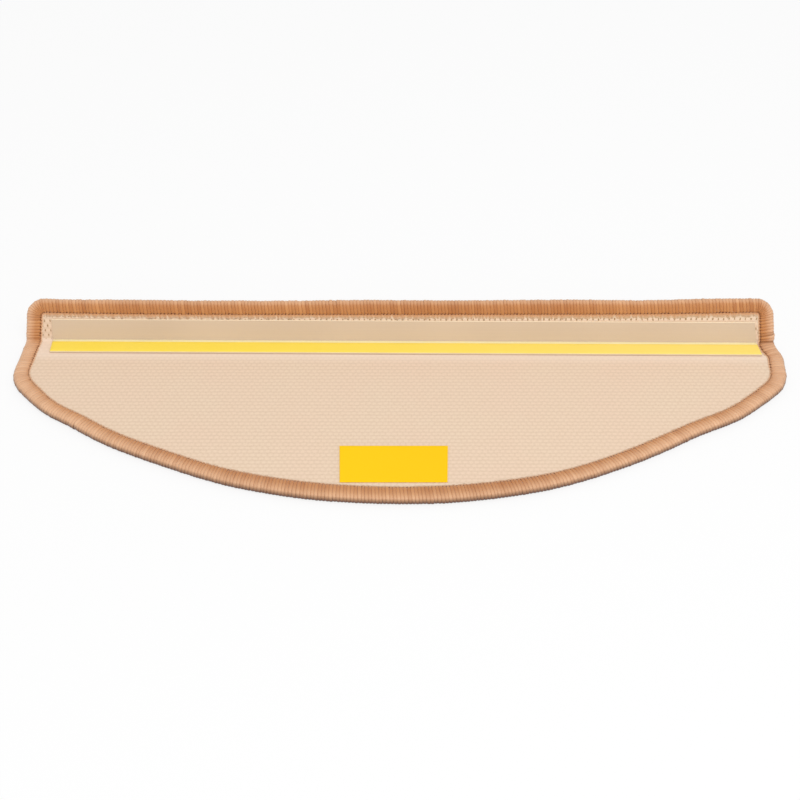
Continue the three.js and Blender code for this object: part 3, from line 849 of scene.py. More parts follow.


# %% [markdown]
# Where the edge is bent at the right end of the fold, the yarn is crushed into two creases, with a
# bulge beside each, and painted shade darkens the creases. The yarn's colour also carries painted
# sheen: it is painted paler at the nose of the edge and all over the sides, where the light comes
# over it, and keeps its full caramel on the lip, in the creases and towards the needle holes. Both
# are worked out here for each point of each turn, and the material only reads them.

# %% Creases and fading
# Each crease presses the yarn in and darkens it with painted shade
CREASES = [
    {"along": 3.5 * MM, "reach": 3.0 * MM, "depth": 1.3 * MM, "painted_shade": 0.75},
    {"along": 12 * MM, "reach": 1.2 * MM, "depth": 0.7 * MM, "painted_shade": 0.6},
]
CREASE_SHADE = 0.5
BULGE_SHARE = 0.45
BULGE_REACH = 2.5
LIP_TO_TREAD_CHANGE = 12 * MM

# How far in from the nose the painted sheen reaches, as a share of the whipping's width, how much
# more where the edge faces sideways, and over what share it ends
LIP_PAINTED_SHEEN = {"reach": 0.16, "sideways": 0.34, "power": 2, "softness": 0.3, "sideways_softness": 0.2}
TREAD_PAINTED_SHEEN = {"reach": 0.32, "sideways": 0.68, "power": 1.3, "softness": 0.9, "sideways_softness": 0}


def crease_at(starts):
    """How deep the right fold's creases press each turn in, and how much painted shade they give it."""
    along = on_rim(starts, RIM[:, 1])
    on_right = on_rim(starts, RIM[:, 0]) > 0
    depth, painted_shade = np.zeros(len(starts)), np.zeros(len(starts))
    for crease in CREASES:
        place = (along - crease["along"]) / crease["reach"]
        bulge = BULGE_SHARE * np.exp(-(place / BULGE_REACH) ** 2)
        depth += crease["depth"] * (np.exp(-place ** 2) - bulge)
        painted_shade += crease["painted_shade"] * np.exp(-place ** 2)
    return depth * on_right, painted_shade * on_right


def painted_sheen_of(starts, inward):
    """How much painted sheen each point of each turn has, and how far each turn is on the tread part."""
    sideways = np.abs(on_rim(starts, RIM_OUTWARD)[:, 0])
    on_tread = soft_step(0.5 - on_rim(starts, RIM[:, 1]) / LIP_TO_TREAD_CHANGE)
    values = []
    for painted_sheen in (LIP_PAINTED_SHEEN, TREAD_PAINTED_SHEEN):
        reach = (painted_sheen["reach"] + painted_sheen["sideways"] * sideways ** painted_sheen["power"])[:, None]
        softness = (painted_sheen["softness"] + painted_sheen["sideways_softness"] * sideways)[:, None]
        values.append(soft_step((reach - inward) / softness + 0.5))
    return values[0] * (1 - on_tread[:, None]) + values[1] * on_tread[:, None], on_tread


# %% Spacing, unevenness and tones of the turns
TURN_PITCH = 2.85 * MM
TURN_UNEVENNESS = 0.07
TURN_SIDES = 8
SEED = 7

# A turn's half width is a little over half its spacing, so that neighbours press together, and its
# path starts a quarter of its spacing before the turn's own place along the edge
SPACING_TO_HALF_WIDTH = 0.54
SLANT_BEFORE = 0.25

# How unevenly the turns lie, and how much a crease lowers them for each millimetre it presses in
LIFT_SPREAD = 0.1 * MM
REACH_SPREAD = 0.12 * MM
REACH_WAVE = 0.3 * MM
REACH_NEIGHBOURS = 8
HOLE_SPREAD = 0.22 * MM
CREASE_LOWERING = 0.6

# The turns' own tones, from 0 for the darkest yarn to 1 for the lightest
TONE_MIDDLE = 0.5
TONE_SPREAD = 0.18
TONE_WAVE = 0.12
TONE_NEIGHBOURS = 12
print("about", round(RIM_LENGTH / TURN_PITCH), "turns of yarn fit round the edge")


# %% Build the whipped edge
def turn_faces(turns, steps):
    """The faces of all turns: each is a tube along its path, closed at both ends."""
    one = []
    for step in range(steps - 1):
        for side in range(TURN_SIDES):
            here, other = step * TURN_SIDES + side, step * TURN_SIDES + (side + 1) % TURN_SIDES
            one.append((here, other, other + TURN_SIDES, here + TURN_SIDES))
    one.append(tuple(range(TURN_SIDES))[::-1])
    one.append(tuple((steps - 1) * TURN_SIDES + side for side in range(TURN_SIDES)))
    size = steps * TURN_SIDES
    return [tuple(index + turn * size for index in face) for turn in range(turns) for face in one]


def whipped_edge():
    """All turns of yarn as one piece, each a flattened tube with its own place, lift and tone."""
    rng = np.random.default_rng(SEED)
    turns = int(round(RIM_LENGTH / TURN_PITCH))
    spacing = 1 + TURN_UNEVENNESS * rng.normal(size=turns)
    spacing *= RIM_LENGTH / spacing.sum()
    starts = np.cumsum(spacing) - spacing / 2
    lift = LIFT_SPREAD * rng.normal(size=turns)
    reach = REACH_SPREAD * rng.normal(size=turns)
    reach += REACH_WAVE * soft_random(rng, turns, REACH_NEIGHBOURS)
    hole = HOLE_SPREAD * rng.normal(size=turns)
    tone = TONE_MIDDLE + TONE_SPREAD * rng.normal(size=turns)
    tone += TONE_WAVE * soft_random(rng, turns, TONE_NEIGHBOURS)
    crease_depth, crease_painted_shade = crease_at(starts)
    lift -= CREASE_LOWERING * crease_depth
    reach -= crease_depth

    steps = len(TURN_PATH)
    tangent = np.gradient(TURN_PATH, axis=0)
    tangent /= np.linalg.norm(tangent, axis=1)[:, None]
    outward = np.stack([-tangent[:, 1], tangent[:, 0]], axis=1)
    step_lengths = np.linalg.norm(np.diff(TURN_PATH, axis=0), axis=1)
    path_length = np.concatenate([[0], np.cumsum(step_lengths)])
    inward = np.clip(-TURN_PATH[:, 0] / BINDING_WIDTH, 0, 1)
    advance = path_length / path_length[-1]
    around = np.arange(TURN_SIDES) * 2 * math.pi / TURN_SIDES

    shape = (turns, steps, TURN_SIDES)
    width = spacing[:, None, None] * SPACING_TO_HALF_WIDTH * TURN_WIDTH[None, :, None]
    slant = spacing[:, None, None] * (advance[None, :, None] - SLANT_BEFORE)
    at = starts[:, None, None] + width * np.cos(around) + slant
    thick = (yarn_half * np.sin(around))[None, None]
    bulge = ((1 - inward) * reach[:, None] + inward * hole[:, None])[:, :, None]
    height = (np.sin(math.pi * np.clip(advance * 2, 0, 1)) * lift[:, None])[:, :, None]
    widening = moved_in(starts[:, None], inward)[:, :, None]
    out = TURN_PATH[None, :, :1] + outward[None, :, :1] * thick + bulge - widening
    up = TURN_PATH[None, :, 1:] + outward[None, :, 1:] * thick + height

    def each_point(values):
        """Repeats values so that there is one for each point of each turn."""
        return np.broadcast_to(values, shape)

    points = from_rim(each_point(at), each_point(out), each_point(up))
    edge = new_piece("whipped_edge", points, turn_faces(turns, steps), ["edge_binding"])

    # Painted sheen: paler where the light comes over the edge, and taken away in the creases
    painted_sheen, on_tread = painted_sheen_of(starts, inward)
    # Painted shade: darker at the needle holes, under the nose on the tread part and in the creases
    painted_shade = HOLE_PAINTED_SHADE + UNDER_PAINTED_SHADE * on_tread[:, None]
    painted_shade = np.clip(painted_shade + CREASE_SHADE * crease_painted_shade[:, None], 0, 1)
    painted_sheen = painted_sheen * np.clip(1 - crease_painted_shade, 0, 1)[:, None]
    round_yarn = (around / (2 * math.pi))[None, None]
    along_yarn = (path_length / MM)[None, :, None]
    yarn_place = [each_point(values) for values in (round_yarn, along_yarn, tone[:, None, None])]
    keep_values(edge, "yarn_place", np.stack(yarn_place, axis=-1))
    keep_values(edge, "yarn_painted_sheen", each_point(painted_sheen[:, :, None]), "FLOAT")
    keep_values(edge, "yarn_painted_shade", each_point(painted_shade[:, :, None]), "FLOAT")
    print("the edge has", turns, "turns of yarn")
    return edge, starts


whipped, turn_starts = whipped_edge()

# %% [markdown]
# ## Yarn finish
#
# The yarn is a soft-twisted bundle of polyester filaments in caramel. Filaments give it fine
# streaks along its length and a silky gloss. Where the light comes over the edge its colour is
# painted paler, a painted sheen, and at the holes, under the nose and in the creases it is painted
# darker, a painted shade. The attribute "yarn_place" holds how far round the yarn a point is, its
# length along the turn in millimetres, and the turn's own tone.

# %% Yarn material
# The two paler tones after the caramel are painted sheen, for where the light comes over the edge
CARAMEL_DARK = "#b6743f"
CARAMEL_LIGHT = "#ce8f57"
PAINTED_SHEEN_DARK = "#d2a078"
PAINTED_SHEEN_LIGHT = "#e7b890"
# The deepest brown is painted shade, for the holes, the underside of the nose and the creases
PAINTED_SHADE_BROWN = "#633618"

# Streaks to the millimetre along the yarn and to one round of it, rounds of twist to the
# millimetre, and a number that gives each turn a stretch of noise of its own
STREAKS_PER_MM = 0.35
STREAKS_AROUND = 18
TWISTS_PER_MM = 0.07
NOISE_APART = 97
STREAK_SHARE = 0.9
FILAMENT_HEIGHT = 0.25 * MM


def twisted_yarn():
    """Twisted polyester filaments: streaks along the yarn and a soft sheen across it."""
    material, tree = new_material("twisted_polyester_yarn")
    place = add(tree, "ShaderNodeAttribute", attribute_name="yarn_place")
    axes = add(tree, "ShaderNodeSeparateXYZ", {0: place.outputs["Vector"]})
    along = add(tree, "ShaderNodeMath", {0: axes.outputs["Y"], 1: STREAKS_PER_MM}, operation="MULTIPLY")
    twist = add(tree, "ShaderNodeMath", {0: axes.outputs["Y"], 1: TWISTS_PER_MM, 2: axes.outputs["X"]},
                operation="MULTIPLY_ADD")
    around = add(tree, "ShaderNodeMath", {0: twist.outputs[0], 1: STREAKS_AROUND}, operation="MULTIPLY")
    turn = add(tree, "ShaderNodeMath", {0: axes.outputs["Z"], 1: NOISE_APART}, operation="MULTIPLY")
    fibre_place = add(tree, "ShaderNodeCombineXYZ", {0: around.outputs[0], 1: along.outputs[0],
                                                     2: turn.outputs[0]})
    fibre = add(tree, "ShaderNodeTexNoise",
                {"Vector": fibre_place.outputs[0], "Scale": 1.0, "Detail": 3.0})
    bump = add(tree, "ShaderNodeBump",
               {"Height": fibre.outputs["Fac"], "Strength": 0.5, "Distance": FILAMENT_HEIGHT})
    streak = add(tree, "ShaderNodeMath",
                 {0: fibre.outputs["Fac"], 1: STREAK_SHARE, 2: -STREAK_SHARE / 2},
                 operation="MULTIPLY_ADD")
    shade = add(tree, "ShaderNodeMath", {0: streak.outputs[0], 1: axes.outputs["Z"]}, operation="ADD",
                use_clamp=True)
    caramel = add(tree, "ShaderNodeMix", {0: shade.outputs[0], MIX_A: linear(CARAMEL_DARK),
                                          MIX_B: linear(CARAMEL_LIGHT)}, data_type="RGBA")
    sheen_colour = add(tree, "ShaderNodeMix", {0: shade.outputs[0], MIX_A: linear(PAINTED_SHEEN_DARK),
                                           MIX_B: linear(PAINTED_SHEEN_LIGHT)}, data_type="RGBA")
    # Painted sheen from an attribute turns the caramel towards its paler copies
    painted_sheen = add(tree, "ShaderNodeAttribute", attribute_name="yarn_painted_sheen")
    # Painted shade from an attribute darkens the yarn towards the deepest brown
    painted_shade = add(tree, "ShaderNodeAttribute", attribute_name="yarn_painted_shade")
    top = add(tree, "ShaderNodeMix", {0: painted_sheen.outputs["Fac"], MIX_A: caramel.outputs[MIX_RESULT],
                                      MIX_B: sheen_colour.outputs[MIX_RESULT]}, data_type="RGBA")
    colour = add(tree, "ShaderNodeMix", {0: painted_shade.outputs["Fac"], MIX_A: top.outputs[MIX_RESULT],
                                         MIX_B: linear(PAINTED_SHADE_BROWN)}, data_type="RGBA")
    shader = add(tree, "ShaderNodeBsdfPrincipled",
                 {"Base Color": colour.outputs[MIX_RESULT], "Roughness": 0.55, "IOR": 1.52,
                  "Sheen Weight": 0.3, "Sheen Roughness": 0.4, "Normal": bump.outputs[0]})
    add(tree, "ShaderNodeOutputMaterial", {"Surface": shader.outputs[0]})
    return material


dress(whipped, twisted_yarn())

# %% [markdown]
# ## What lies under the yarn
#
# Between the turns the eye looks down on packed yarn in its own shade: one plain body under the
# turns, in a dark colour that is painted shade, gives that depth. At its inner edge the needle went
# through the backing between every two turns: there the body is painted darkest, a painted shadow
# in each hole, which shows as a row of small dots. Past the holes a little fuzz of torn yarn lies on
# the cloth and thins out until only the cloth shows. A point attribute holds these tones, and the
# material reads its colours from it.

# %% Sizes and tones of the yarn's core
# The section's places, in millimetres out from the rim and up from the floor: the skirt that ends
# on the cloth, the fringe beside the holes, the holes, over and round under the turns, and back
core_end = -BINDING_WIDTH / MM
CORE_SECTION = np.array([
    (core_end - 0.3, 6.62), (core_end - 0.25, 6.72), (core_end + 0.1, 6.85), (core_end + 0.5, 6.98),
    (-8.0, 7.3), (-4.2, 7.3), (-2.0, 6.4), (-1.15, 4.2), (-2.0, 2.0), (-4.2, 1.1),
    (core_end + 0.2, 1.1), (core_end + 0.2, 1.45), (-2.45, 1.45), (-2.45, 6.55), (core_end - 0.3, 6.54),
]) * MM
FUZZ_REACH = 1.2 * MM
FUZZ_REACH_ON_LIP_TOP = 2.2 * MM
FUZZ_REACH_SPREAD = 0.2
HOLE_REACH = 0.85 * MM
HOLE_PAINTED_SHADOW = "#562a12"
YARN_SHADE = "#95572e"
YARN_FUZZ = "#d8a47b"
PACKED_FIBRES_PER_MM = 0.9
PACKED_FIBRE_HEIGHT = 0.2 * MM

# The tone is the full painted shadow from 0 down, so a hole's tone below 0 makes its dark spot wider
HOLE_SHADOW_TONE, SHADE_TONE, FRINGE_TONE, FUZZ_TONE, CLOTH_TONE = -0.7, 0.5, 0.65, 0.75, 1.0
print("the core's section has", len(CORE_SECTION), "places")


# %% Finish of the yarn's core
def shaded_yarn():
    """Its tone runs from a hole's painted shadow to yarn in painted shade, to fuzz, to bare cloth."""
    material, tree = new_material("packed_yarn_in_shade")
    tone = add(tree, "ShaderNodeAttribute", attribute_name="core_tone")
    to_shade = add(tree, "ShaderNodeMapRange", {"Value": tone.outputs["Fac"], "From Max": SHADE_TONE})
    to_fuzz = add(tree, "ShaderNodeMapRange",
                  {"Value": tone.outputs["Fac"], "From Min": SHADE_TONE, "From Max": FUZZ_TONE})
    to_cloth = add(tree, "ShaderNodeMapRange",
                   {"Value": tone.outputs["Fac"], "From Min": FUZZ_TONE, "From Max": CLOTH_TONE})
    shade = add(tree, "ShaderNodeMix", {0: to_shade.outputs[0], MIX_A: linear(HOLE_PAINTED_SHADOW),
                                        MIX_B: linear(YARN_SHADE)}, data_type="RGBA")
    fuzz = add(tree, "ShaderNodeMix", {0: to_fuzz.outputs[0], MIX_A: shade.outputs[MIX_RESULT],
                                       MIX_B: linear(YARN_FUZZ)}, data_type="RGBA")
    colour = add(tree, "ShaderNodeMix", {0: to_cloth.outputs[0], MIX_A: fuzz.outputs[MIX_RESULT],
                                         MIX_B: linear(CLOTH_FLOAT)}, data_type="RGBA")
    place = add(tree, "ShaderNodeTexCoord")
    fibre = add(tree, "ShaderNodeTexNoise",
                {"Vector": place.outputs["Object"], "Scale": PACKED_FIBRES_PER_MM / MM, "Detail": 2.0})
    bump = add(tree, "ShaderNodeBump",
               {"Height": fibre.outputs["Fac"], "Strength": 0.4, "Distance": PACKED_FIBRE_HEIGHT})
    shader = add(tree, "ShaderNodeBsdfPrincipled",
                 {"Base Color": colour.outputs[MIX_RESULT], "Roughness": 0.9, "IOR": 1.52,
                  "Normal": bump.outputs[0]})
    add(tree, "ShaderNodeOutputMaterial", {"Surface": shader.outputs[0]})
    return material


# %% Build the yarn's core
def edge_core(turn_starts):
    """A closed body under the turns, with the darkest painted shadow at its inner edge between every
    two.
    """
    rng = np.random.default_rng(SEED + 1)
    gaps = (turn_starts + np.roll(turn_starts, -1)) / 2
    gaps[-1] = (turn_starts[-1] + turn_starts[0] + RIM_LENGTH) / 2
    at = np.stack([turn_starts, gaps], axis=1).reshape(-1, 1)
    count = len(at)
    in_gap = np.tile([0, 1], count // 2)[:, None]
    on_lip_top = np.clip(on_rim(at, RIM_OUTWARD)[..., 1], 0, 1) ** 2
    fuzz = FUZZ_REACH + FUZZ_REACH_ON_LIP_TOP * on_lip_top
    fuzz = fuzz * (1 + FUZZ_REACH_SPREAD * rng.normal(size=(count, 1)))

    place = np.arange(len(CORE_SECTION))
    skirt = np.isin(place, [0, len(CORE_SECTION) - 1])
    fringe, hole = place == 1, place == 2
    widening = moved_in(at, -CORE_SECTION[:, 0] / BINDING_WIDTH)
    reach = skirt * (fuzz + HOLE_REACH) + (fringe | hole) * in_gap * HOLE_REACH
    out = CORE_SECTION[:, 0] - widening - reach
    points = from_rim(at + 0 * out, out, CORE_SECTION[:, 1] + 0 * out)
    tone = SHADE_TONE + skirt * (CLOTH_TONE - SHADE_TONE) + fringe * (FRINGE_TONE - SHADE_TONE)
    tone = tone + hole * in_gap * (HOLE_SHADOW_TONE - SHADE_TONE)

    size = len(CORE_SECTION)
    faces = []
    for ring in range(count):
        here, after = ring * size, (ring + 1) % count * size
        for side in range(size):
            other = (side + 1) % size
            faces.append((here + side, here + other, after + other, after + side))
    core = new_piece("edge_core", points, faces)
    keep_values(core, "core_tone", tone, "FLOAT")
    dress(core, shaded_yarn())


edge_core(turn_starts)

# %% [markdown]
# ## Plastic angle
#
# The angle is extruded from soft tan PVC. Extrusion leaves rounded edges, a satin gloss and very
# faint lines along the length. Its section is drawn once, its corners are rounded, and it is drawn
# out between its two saw-cut ends. At the right the saw ran askew, so that the angle and the tape
# on it reach furthest at their front edge.

# %% Round the corners of a section
CORNER_STEPS = 4


def rounded_section(corners, radii):
    """Rounds the corners of a closed section, each by its own radius."""
    points = []
    for index, corner in enumerate(corners):
        before, after = corners[index - 1], corners[(index + 1) % len(corners)]
        radius = radii[index]
        if radius == 0:
            points.append(corner)
            continue
        to_before = (before - corner) / np.linalg.norm(before - corner)
        to_after = (after - corner) / np.linalg.norm(after - corner)
        half = math.acos(np.clip(np.dot(to_before, to_after), -1, 1)) / 2
        start = corner + to_before * radius / math.tan(half)
        end = corner + to_after * radius / math.tan(half)
        for step in range(CORNER_STEPS + 1):
            share = step / CORNER_STEPS
            bend = corner * 2 * share * (1 - share)
            points.append(start * (1 - share) ** 2 + bend + end * share ** 2)
    return np.array(points)


# %% Section of the angle
BACK_EDGE_RADIUS = 0.2 * MM
FACE_EDGE_RADIUS = 0.4 * MM
INNER_ANGLE_RADIUS = 0.8 * MM
ANGLE_FOLD_STEPS = 8
ANGLE_INNER_ALONG = (FOLD_CENTRE - ANGLE_FACE) * math.tan(FOLD_ANGLE / 2)


def section_place(along, up):
    """The depth and height, in the fold's own frame, of a place on the cut."""
    return np.array(fold_across_x(np.float64(along), np.float64(up)))


def angle_section():
    """The angle's closed section: its back lies along the cloth, its face has one inner corner."""
    corners = [section_place(-ANGLE_TREAD_LEG, ANGLE_BACK)]
    corners += [section_place(FOLD_LENGTH * step / ANGLE_FOLD_STEPS, ANGLE_BACK)
                for step in range(ANGLE_FOLD_STEPS + 1)]
    corners += [
        section_place(FOLD_LENGTH + ANGLE_LIP_LEG, ANGLE_BACK),
        section_place(FOLD_LENGTH + ANGLE_LIP_LEG, ANGLE_FACE),
        np.array([ANGLE_INNER_ALONG, ANGLE_FACE]),
        section_place(-ANGLE_TREAD_LEG, ANGLE_FACE),
    ]
    radii = [BACK_EDGE_RADIUS] + [0] * (ANGLE_FOLD_STEPS + 1)
    radii += [BACK_EDGE_RADIUS, FACE_EDGE_RADIUS, INNER_ANGLE_RADIUS, FACE_EDGE_RADIUS]
    return rounded_section(corners, radii)


ANGLE_SECTION = angle_section()
print("the angle's section has", len(ANGLE_SECTION), "points")

# %% Draw a section out along the fold
RIGHT_END_SKEW = 0.13
PLASTIC_SHARP_EDGE = math.radians(35)


def right_end_at(depth, height):
    """Where the angle and its strip end at the right, where the saw ran askew."""
    return -RIGHT_END_SKEW * (depth + height - ANGLE_FACE)


def drawn_out(name, section, left, right, replaces, stations):
    """Draws a section of the fold's own frame out from left to right, with closed ends."""
    share = np.linspace(0, 1, stations)[:, None]
    across = left + (right + right_end_at(section[:, 0], section[:, 1]) - left) * share
    depth, height = section[:, 0] + 0 * across, section[:, 1] + 0 * across
    points = in_fold(across, depth, height)
    size = len(section)
    faces = []
    for station in range(stations - 1):
        for side in range(size):
            here, other = station * size + side, station * size + (side + 1) % size
            faces.append((here, here + size, other + size, other))
    faces.append(tuple(range(size)))
    faces.append(tuple((stations - 1) * size + side for side in range(size))[::-1])
    piece = new_piece(name, points, faces, replaces)
    piece.data.set_sharp_from_angle(angle=PLASTIC_SHARP_EDGE)
    return piece


# %% [markdown]
# The plastic is nearly even in colour: a soft cloud of deeper tan, and the fine lines that the
# extruder's die leaves along it. The narrow end face of its leg on the lip is painted paler, a
# painted highlight where its top edge catches the light, and a point attribute marks it for the
# material.

# %% Plastic material
PLASTIC_TAN = "#d8c0a5"
PLASTIC_TAN_DEEP = "#d0b89d"
PLASTIC_PAINTED_HIGHLIGHT = "#fdebcb"
DIE_LINE_LENGTH = 250 * MM
DIE_LINES_PER_MM = 0.9
DIE_LINE_SHARE = 0.5
DIE_LINE_HEIGHT = 0.04 * MM
TAN_CLOUDS_PER_METRE = 12
TAN_EDGE = (0.45, 1.05)


def extruded_pvc():
    """Soft PVC as it leaves the die: satin, even, with faint lines along its length."""
    material, tree = new_material("extruded_soft_pvc")
    place = add(tree, "ShaderNodeTexCoord")
    across_lines = DIE_LINES_PER_MM / MM
    stretched = add(tree, "ShaderNodeVectorMath",
                    {0: place.outputs["Object"], 1: (1 / DIE_LINE_LENGTH, across_lines, across_lines)},
                    operation="MULTIPLY")
    lines = add(tree, "ShaderNodeTexNoise",
                {"Vector": stretched.outputs[0], "Scale": 1.0, "Detail": 2.0})
    cloud = add(tree, "ShaderNodeTexNoise",
                {"Vector": place.outputs["Object"], "Scale": TAN_CLOUDS_PER_METRE, "Detail": 1.0})
    shade = add(tree, "ShaderNodeMath",
                {0: lines.outputs["Fac"], 1: DIE_LINE_SHARE, 2: cloud.outputs["Fac"]},
                operation="MULTIPLY_ADD")
    spread = add(tree, "ShaderNodeMapRange",
                 {"Value": shade.outputs[0], "From Min": TAN_EDGE[0], "From Max": TAN_EDGE[1]})
    colour = add(tree, "ShaderNodeMix", {0: spread.outputs[0], MIX_A: linear(PLASTIC_TAN_DEEP),
                                         MIX_B: linear(PLASTIC_TAN)}, data_type="RGBA")
    # The lip leg's end face is painted paler, a painted highlight
    end_painted_highlight = add(tree, "ShaderNodeAttribute", attribute_name="end_painted_highlight")
    whole = add(tree, "ShaderNodeMix", {0: end_painted_highlight.outputs["Fac"], MIX_A: colour.outputs[MIX_RESULT],
                                        MIX_B: linear(PLASTIC_PAINTED_HIGHLIGHT)}, data_type="RGBA")
    bump = add(tree, "ShaderNodeBump",
               {"Height": lines.outputs["Fac"], "Strength": 0.3, "Distance": DIE_LINE_HEIGHT})
    shader = add(tree, "ShaderNodeBsdfPrincipled",
                 {"Base Color": whole.outputs[MIX_RESULT], "Roughness": 0.5, "IOR": 1.53,
                  "Normal": bump.outputs[0]})
    add(tree, "ShaderNodeOutputMaterial", {"Surface": shader.outputs[0]})
    return material


# %% Build the angle
ANGLE_STATIONS = 64
END_FACE_MARGIN = 0.25 * MM


def on_leg_end(section):
    """Marks the points of the angle's section on the end face of its lip leg, which get a painted
    highlight.
    """
    up_the_lip = np.array([math.cos(FOLD_ANGLE), math.sin(FOLD_ANGLE)])
    leg_end = section_place(FOLD_LENGTH + ANGLE_LIP_LEG, ANGLE_BACK)
    return (section - leg_end) @ up_the_lip > -END_FACE_MARGIN


tan_angle = drawn_out("tan_angle", ANGLE_SECTION, ANGLE_LEFT_END, ANGLE_RIGHT_END,
                      ["angle_profile"], ANGLE_STATIONS)
keep_values(tan_angle, "end_painted_highlight", np.tile(on_leg_end(ANGLE_SECTION), ANGLE_STATIONS), "FLOAT")
dress(tan_angle, extruded_pvc())

# %% [markdown]
# ## Tapes and release liners
#
# Under each yellow liner lies a cream double-sided tape. Both are thin flat strips with clean cut
# edges. The liner is siliconed paper: smooth, slightly glossy and never quite flat, so its surface
# gets a ripple of a few hundredths of a millimetre in its mesh and a fine paper grain in its bump.

# %% Thin strips
STRIP_EDGE_ROUNDING = 0.15 * MM
STRIP_EDGE_SHARE = 0.4
STRIP_SHARP_EDGE = math.radians(50)
# The ripple is a sum of waves 29 to 105 mm long, which run a little askew
RIPPLE_WAVES = 4
RIPPLE_RADIANS_PER_METRE = (60, 220)
RIPPLE_SLANT = 0.4


def thin_strip(name, node, sides, heights, placed, cell, ripple, seed):
    """A flat strip as a closed mesh with a softly rippled face and slightly rounded edges."""
    left, right, front, back = sides
    bottom, thickness = heights
    rng = np.random.default_rng(seed)
    edge = min(STRIP_EDGE_SHARE * thickness, STRIP_EDGE_ROUNDING)
    across = np.linspace(left + edge, right - edge, max(2, int((right - left) / cell)) + 1)
    along = np.linspace(front + edge, back - edge, max(2, int((back - front) / cell)) + 1)
    x, y = np.meshgrid(across, along)
    phases = rng.uniform(0, 2 * math.pi, RIPPLE_WAVES)
    waves = rng.uniform(*RIPPLE_RADIANS_PER_METRE, RIPPLE_WAVES)
    ripples = [np.sin(wave * (x + RIPPLE_SLANT * y) + phase) for wave, phase in zip(waves, phases)]
    rise = sum(ripples) / RIPPLE_WAVES
    top = placed(x, y, bottom + thickness + ripple * (rise - 1) / 2)
    low = placed(x, y, bottom + 0 * x)
    rows, columns = x.shape
    index = np.arange(rows * columns).reshape(rows, columns)
    boundary = np.concatenate([index[0, :], index[1:, -1], index[-1, -2::-1], index[-2:0:-1, 0]])
    outward_x = np.where(x == across[0], -edge, 0) + np.where(x == across[-1], edge, 0)
    outward_y = np.where(y == along[0], -edge, 0) + np.where(y == along[-1], edge, 0)
    ring_x, ring_y = (x + outward_x).ravel()[boundary], (y + outward_y).ravel()[boundary]
    rim_top = placed(ring_x, ring_y, bottom + thickness - edge + 0 * ring_x)
    rim_low = placed(ring_x, ring_y, bottom + 0 * ring_x)
    total = rows * columns
    faces = []
    for row in range(rows - 1):
        for column in range(columns - 1):
            a, b = index[row, column], index[row, column + 1]
            c, d = index[row + 1, column + 1], index[row + 1, column]
            faces.append((a, b, c, d))
            faces.append((d + total, c + total, b + total, a + total))
    ring = np.arange(len(boundary))
    chain = [boundary, 2 * total + ring, 2 * total + len(boundary) + ring, boundary + total]
    for upper, lower in zip(chain[:-1], chain[1:]):
        faces += np.stack([upper, lower, np.roll(lower, -1), np.roll(upper, -1)], axis=1).tolist()
    points = np.concatenate([part.reshape(-1, 3) for part in (top, low, rim_top, rim_low)])
    piece = new_piece(name, points, faces, [node])
    piece.data.set_sharp_from_angle(angle=STRIP_SHARP_EDGE)
    return piece


def on_cut(across, along, up):
    """Places points that are measured level on the tread part, which isn't turned with the fold."""
    return np.stack([across, along, up + 0 * across], axis=-1) + PLACE


def on_angle(across, along, up):
    """Places points of the strip, which ends with the angle."""
    share = (across - ANGLE_LEFT_END) / (ANGLE_RIGHT_END - ANGLE_LEFT_END)
    return in_fold(across + right_end_at(along, up) * share, along, up)


# %% Tape and paper materials
TAPE_CREAM = "#fff3b8"
TAPE_CREAM_PALE = "#fff5c6"
TAPE_CLOUDS_PER_METRE = 60
TAPE_GRAIN_PER_MM = 0.7
TAPE_GRAIN_HEIGHT = 0.05 * MM
LINER_PALE = "#ffe150"
LINER_PAINTED_REFLECTION = "#ffe376"
LINER_YELLOW = "#ffcf00"
LINER_YELLOW_DEEP = "#fecb00"
LINER_CLOUDS_PER_METRE = 45
LINER_CLOUD_SHARE = 0.3
LINER_GRAIN_PER_MM = 1.5
LINER_GRAIN_HEIGHT = 0.03 * MM


def siliconed_paper(name, colour_a, colour_b, across_start, across_end):
    """Smooth release paper whose colour shifts across the mat; the strip's paler end is painted
    reflection.
    """
    material, tree = new_material(name)
    place = add(tree, "ShaderNodeTexCoord")
    axes = add(tree, "ShaderNodeSeparateXYZ", {0: place.outputs["Object"]})
    fade = add(tree, "ShaderNodeMapRange", {"Value": axes.outputs["X"], "From Min": across_start,
                                            "From Max": across_end})
    cloud = add(tree, "ShaderNodeTexNoise",
                {"Vector": place.outputs["Object"], "Scale": LINER_CLOUDS_PER_METRE, "Detail": 2.0})
    shade = add(tree, "ShaderNodeMath",
                {0: cloud.outputs["Fac"], 1: LINER_CLOUD_SHARE, 2: fade.outputs[0]},
                operation="MULTIPLY_ADD", use_clamp=True)
    colour = add(tree, "ShaderNodeMix", {0: shade.outputs[0], MIX_A: linear(colour_a),
                                         MIX_B: linear(colour_b)}, data_type="RGBA")
    grain = add(tree, "ShaderNodeTexNoise",
                {"Vector": place.outputs["Object"], "Scale": LINER_GRAIN_PER_MM / MM, "Detail": 3.0})
    bump = add(tree, "ShaderNodeBump",
               {"Height": grain.outputs["Fac"], "Strength": 0.15, "Distance": LINER_GRAIN_HEIGHT})
    shader = add(tree, "ShaderNodeBsdfPrincipled",
                 {"Base Color": colour.outputs[MIX_RESULT], "Roughness": 0.5, "IOR": 1.4,
                  "Specular IOR Level": 0.25, "Normal": bump.outputs[0]})
    add(tree, "ShaderNodeOutputMaterial", {"Surface": shader.outputs[0]})
    return material


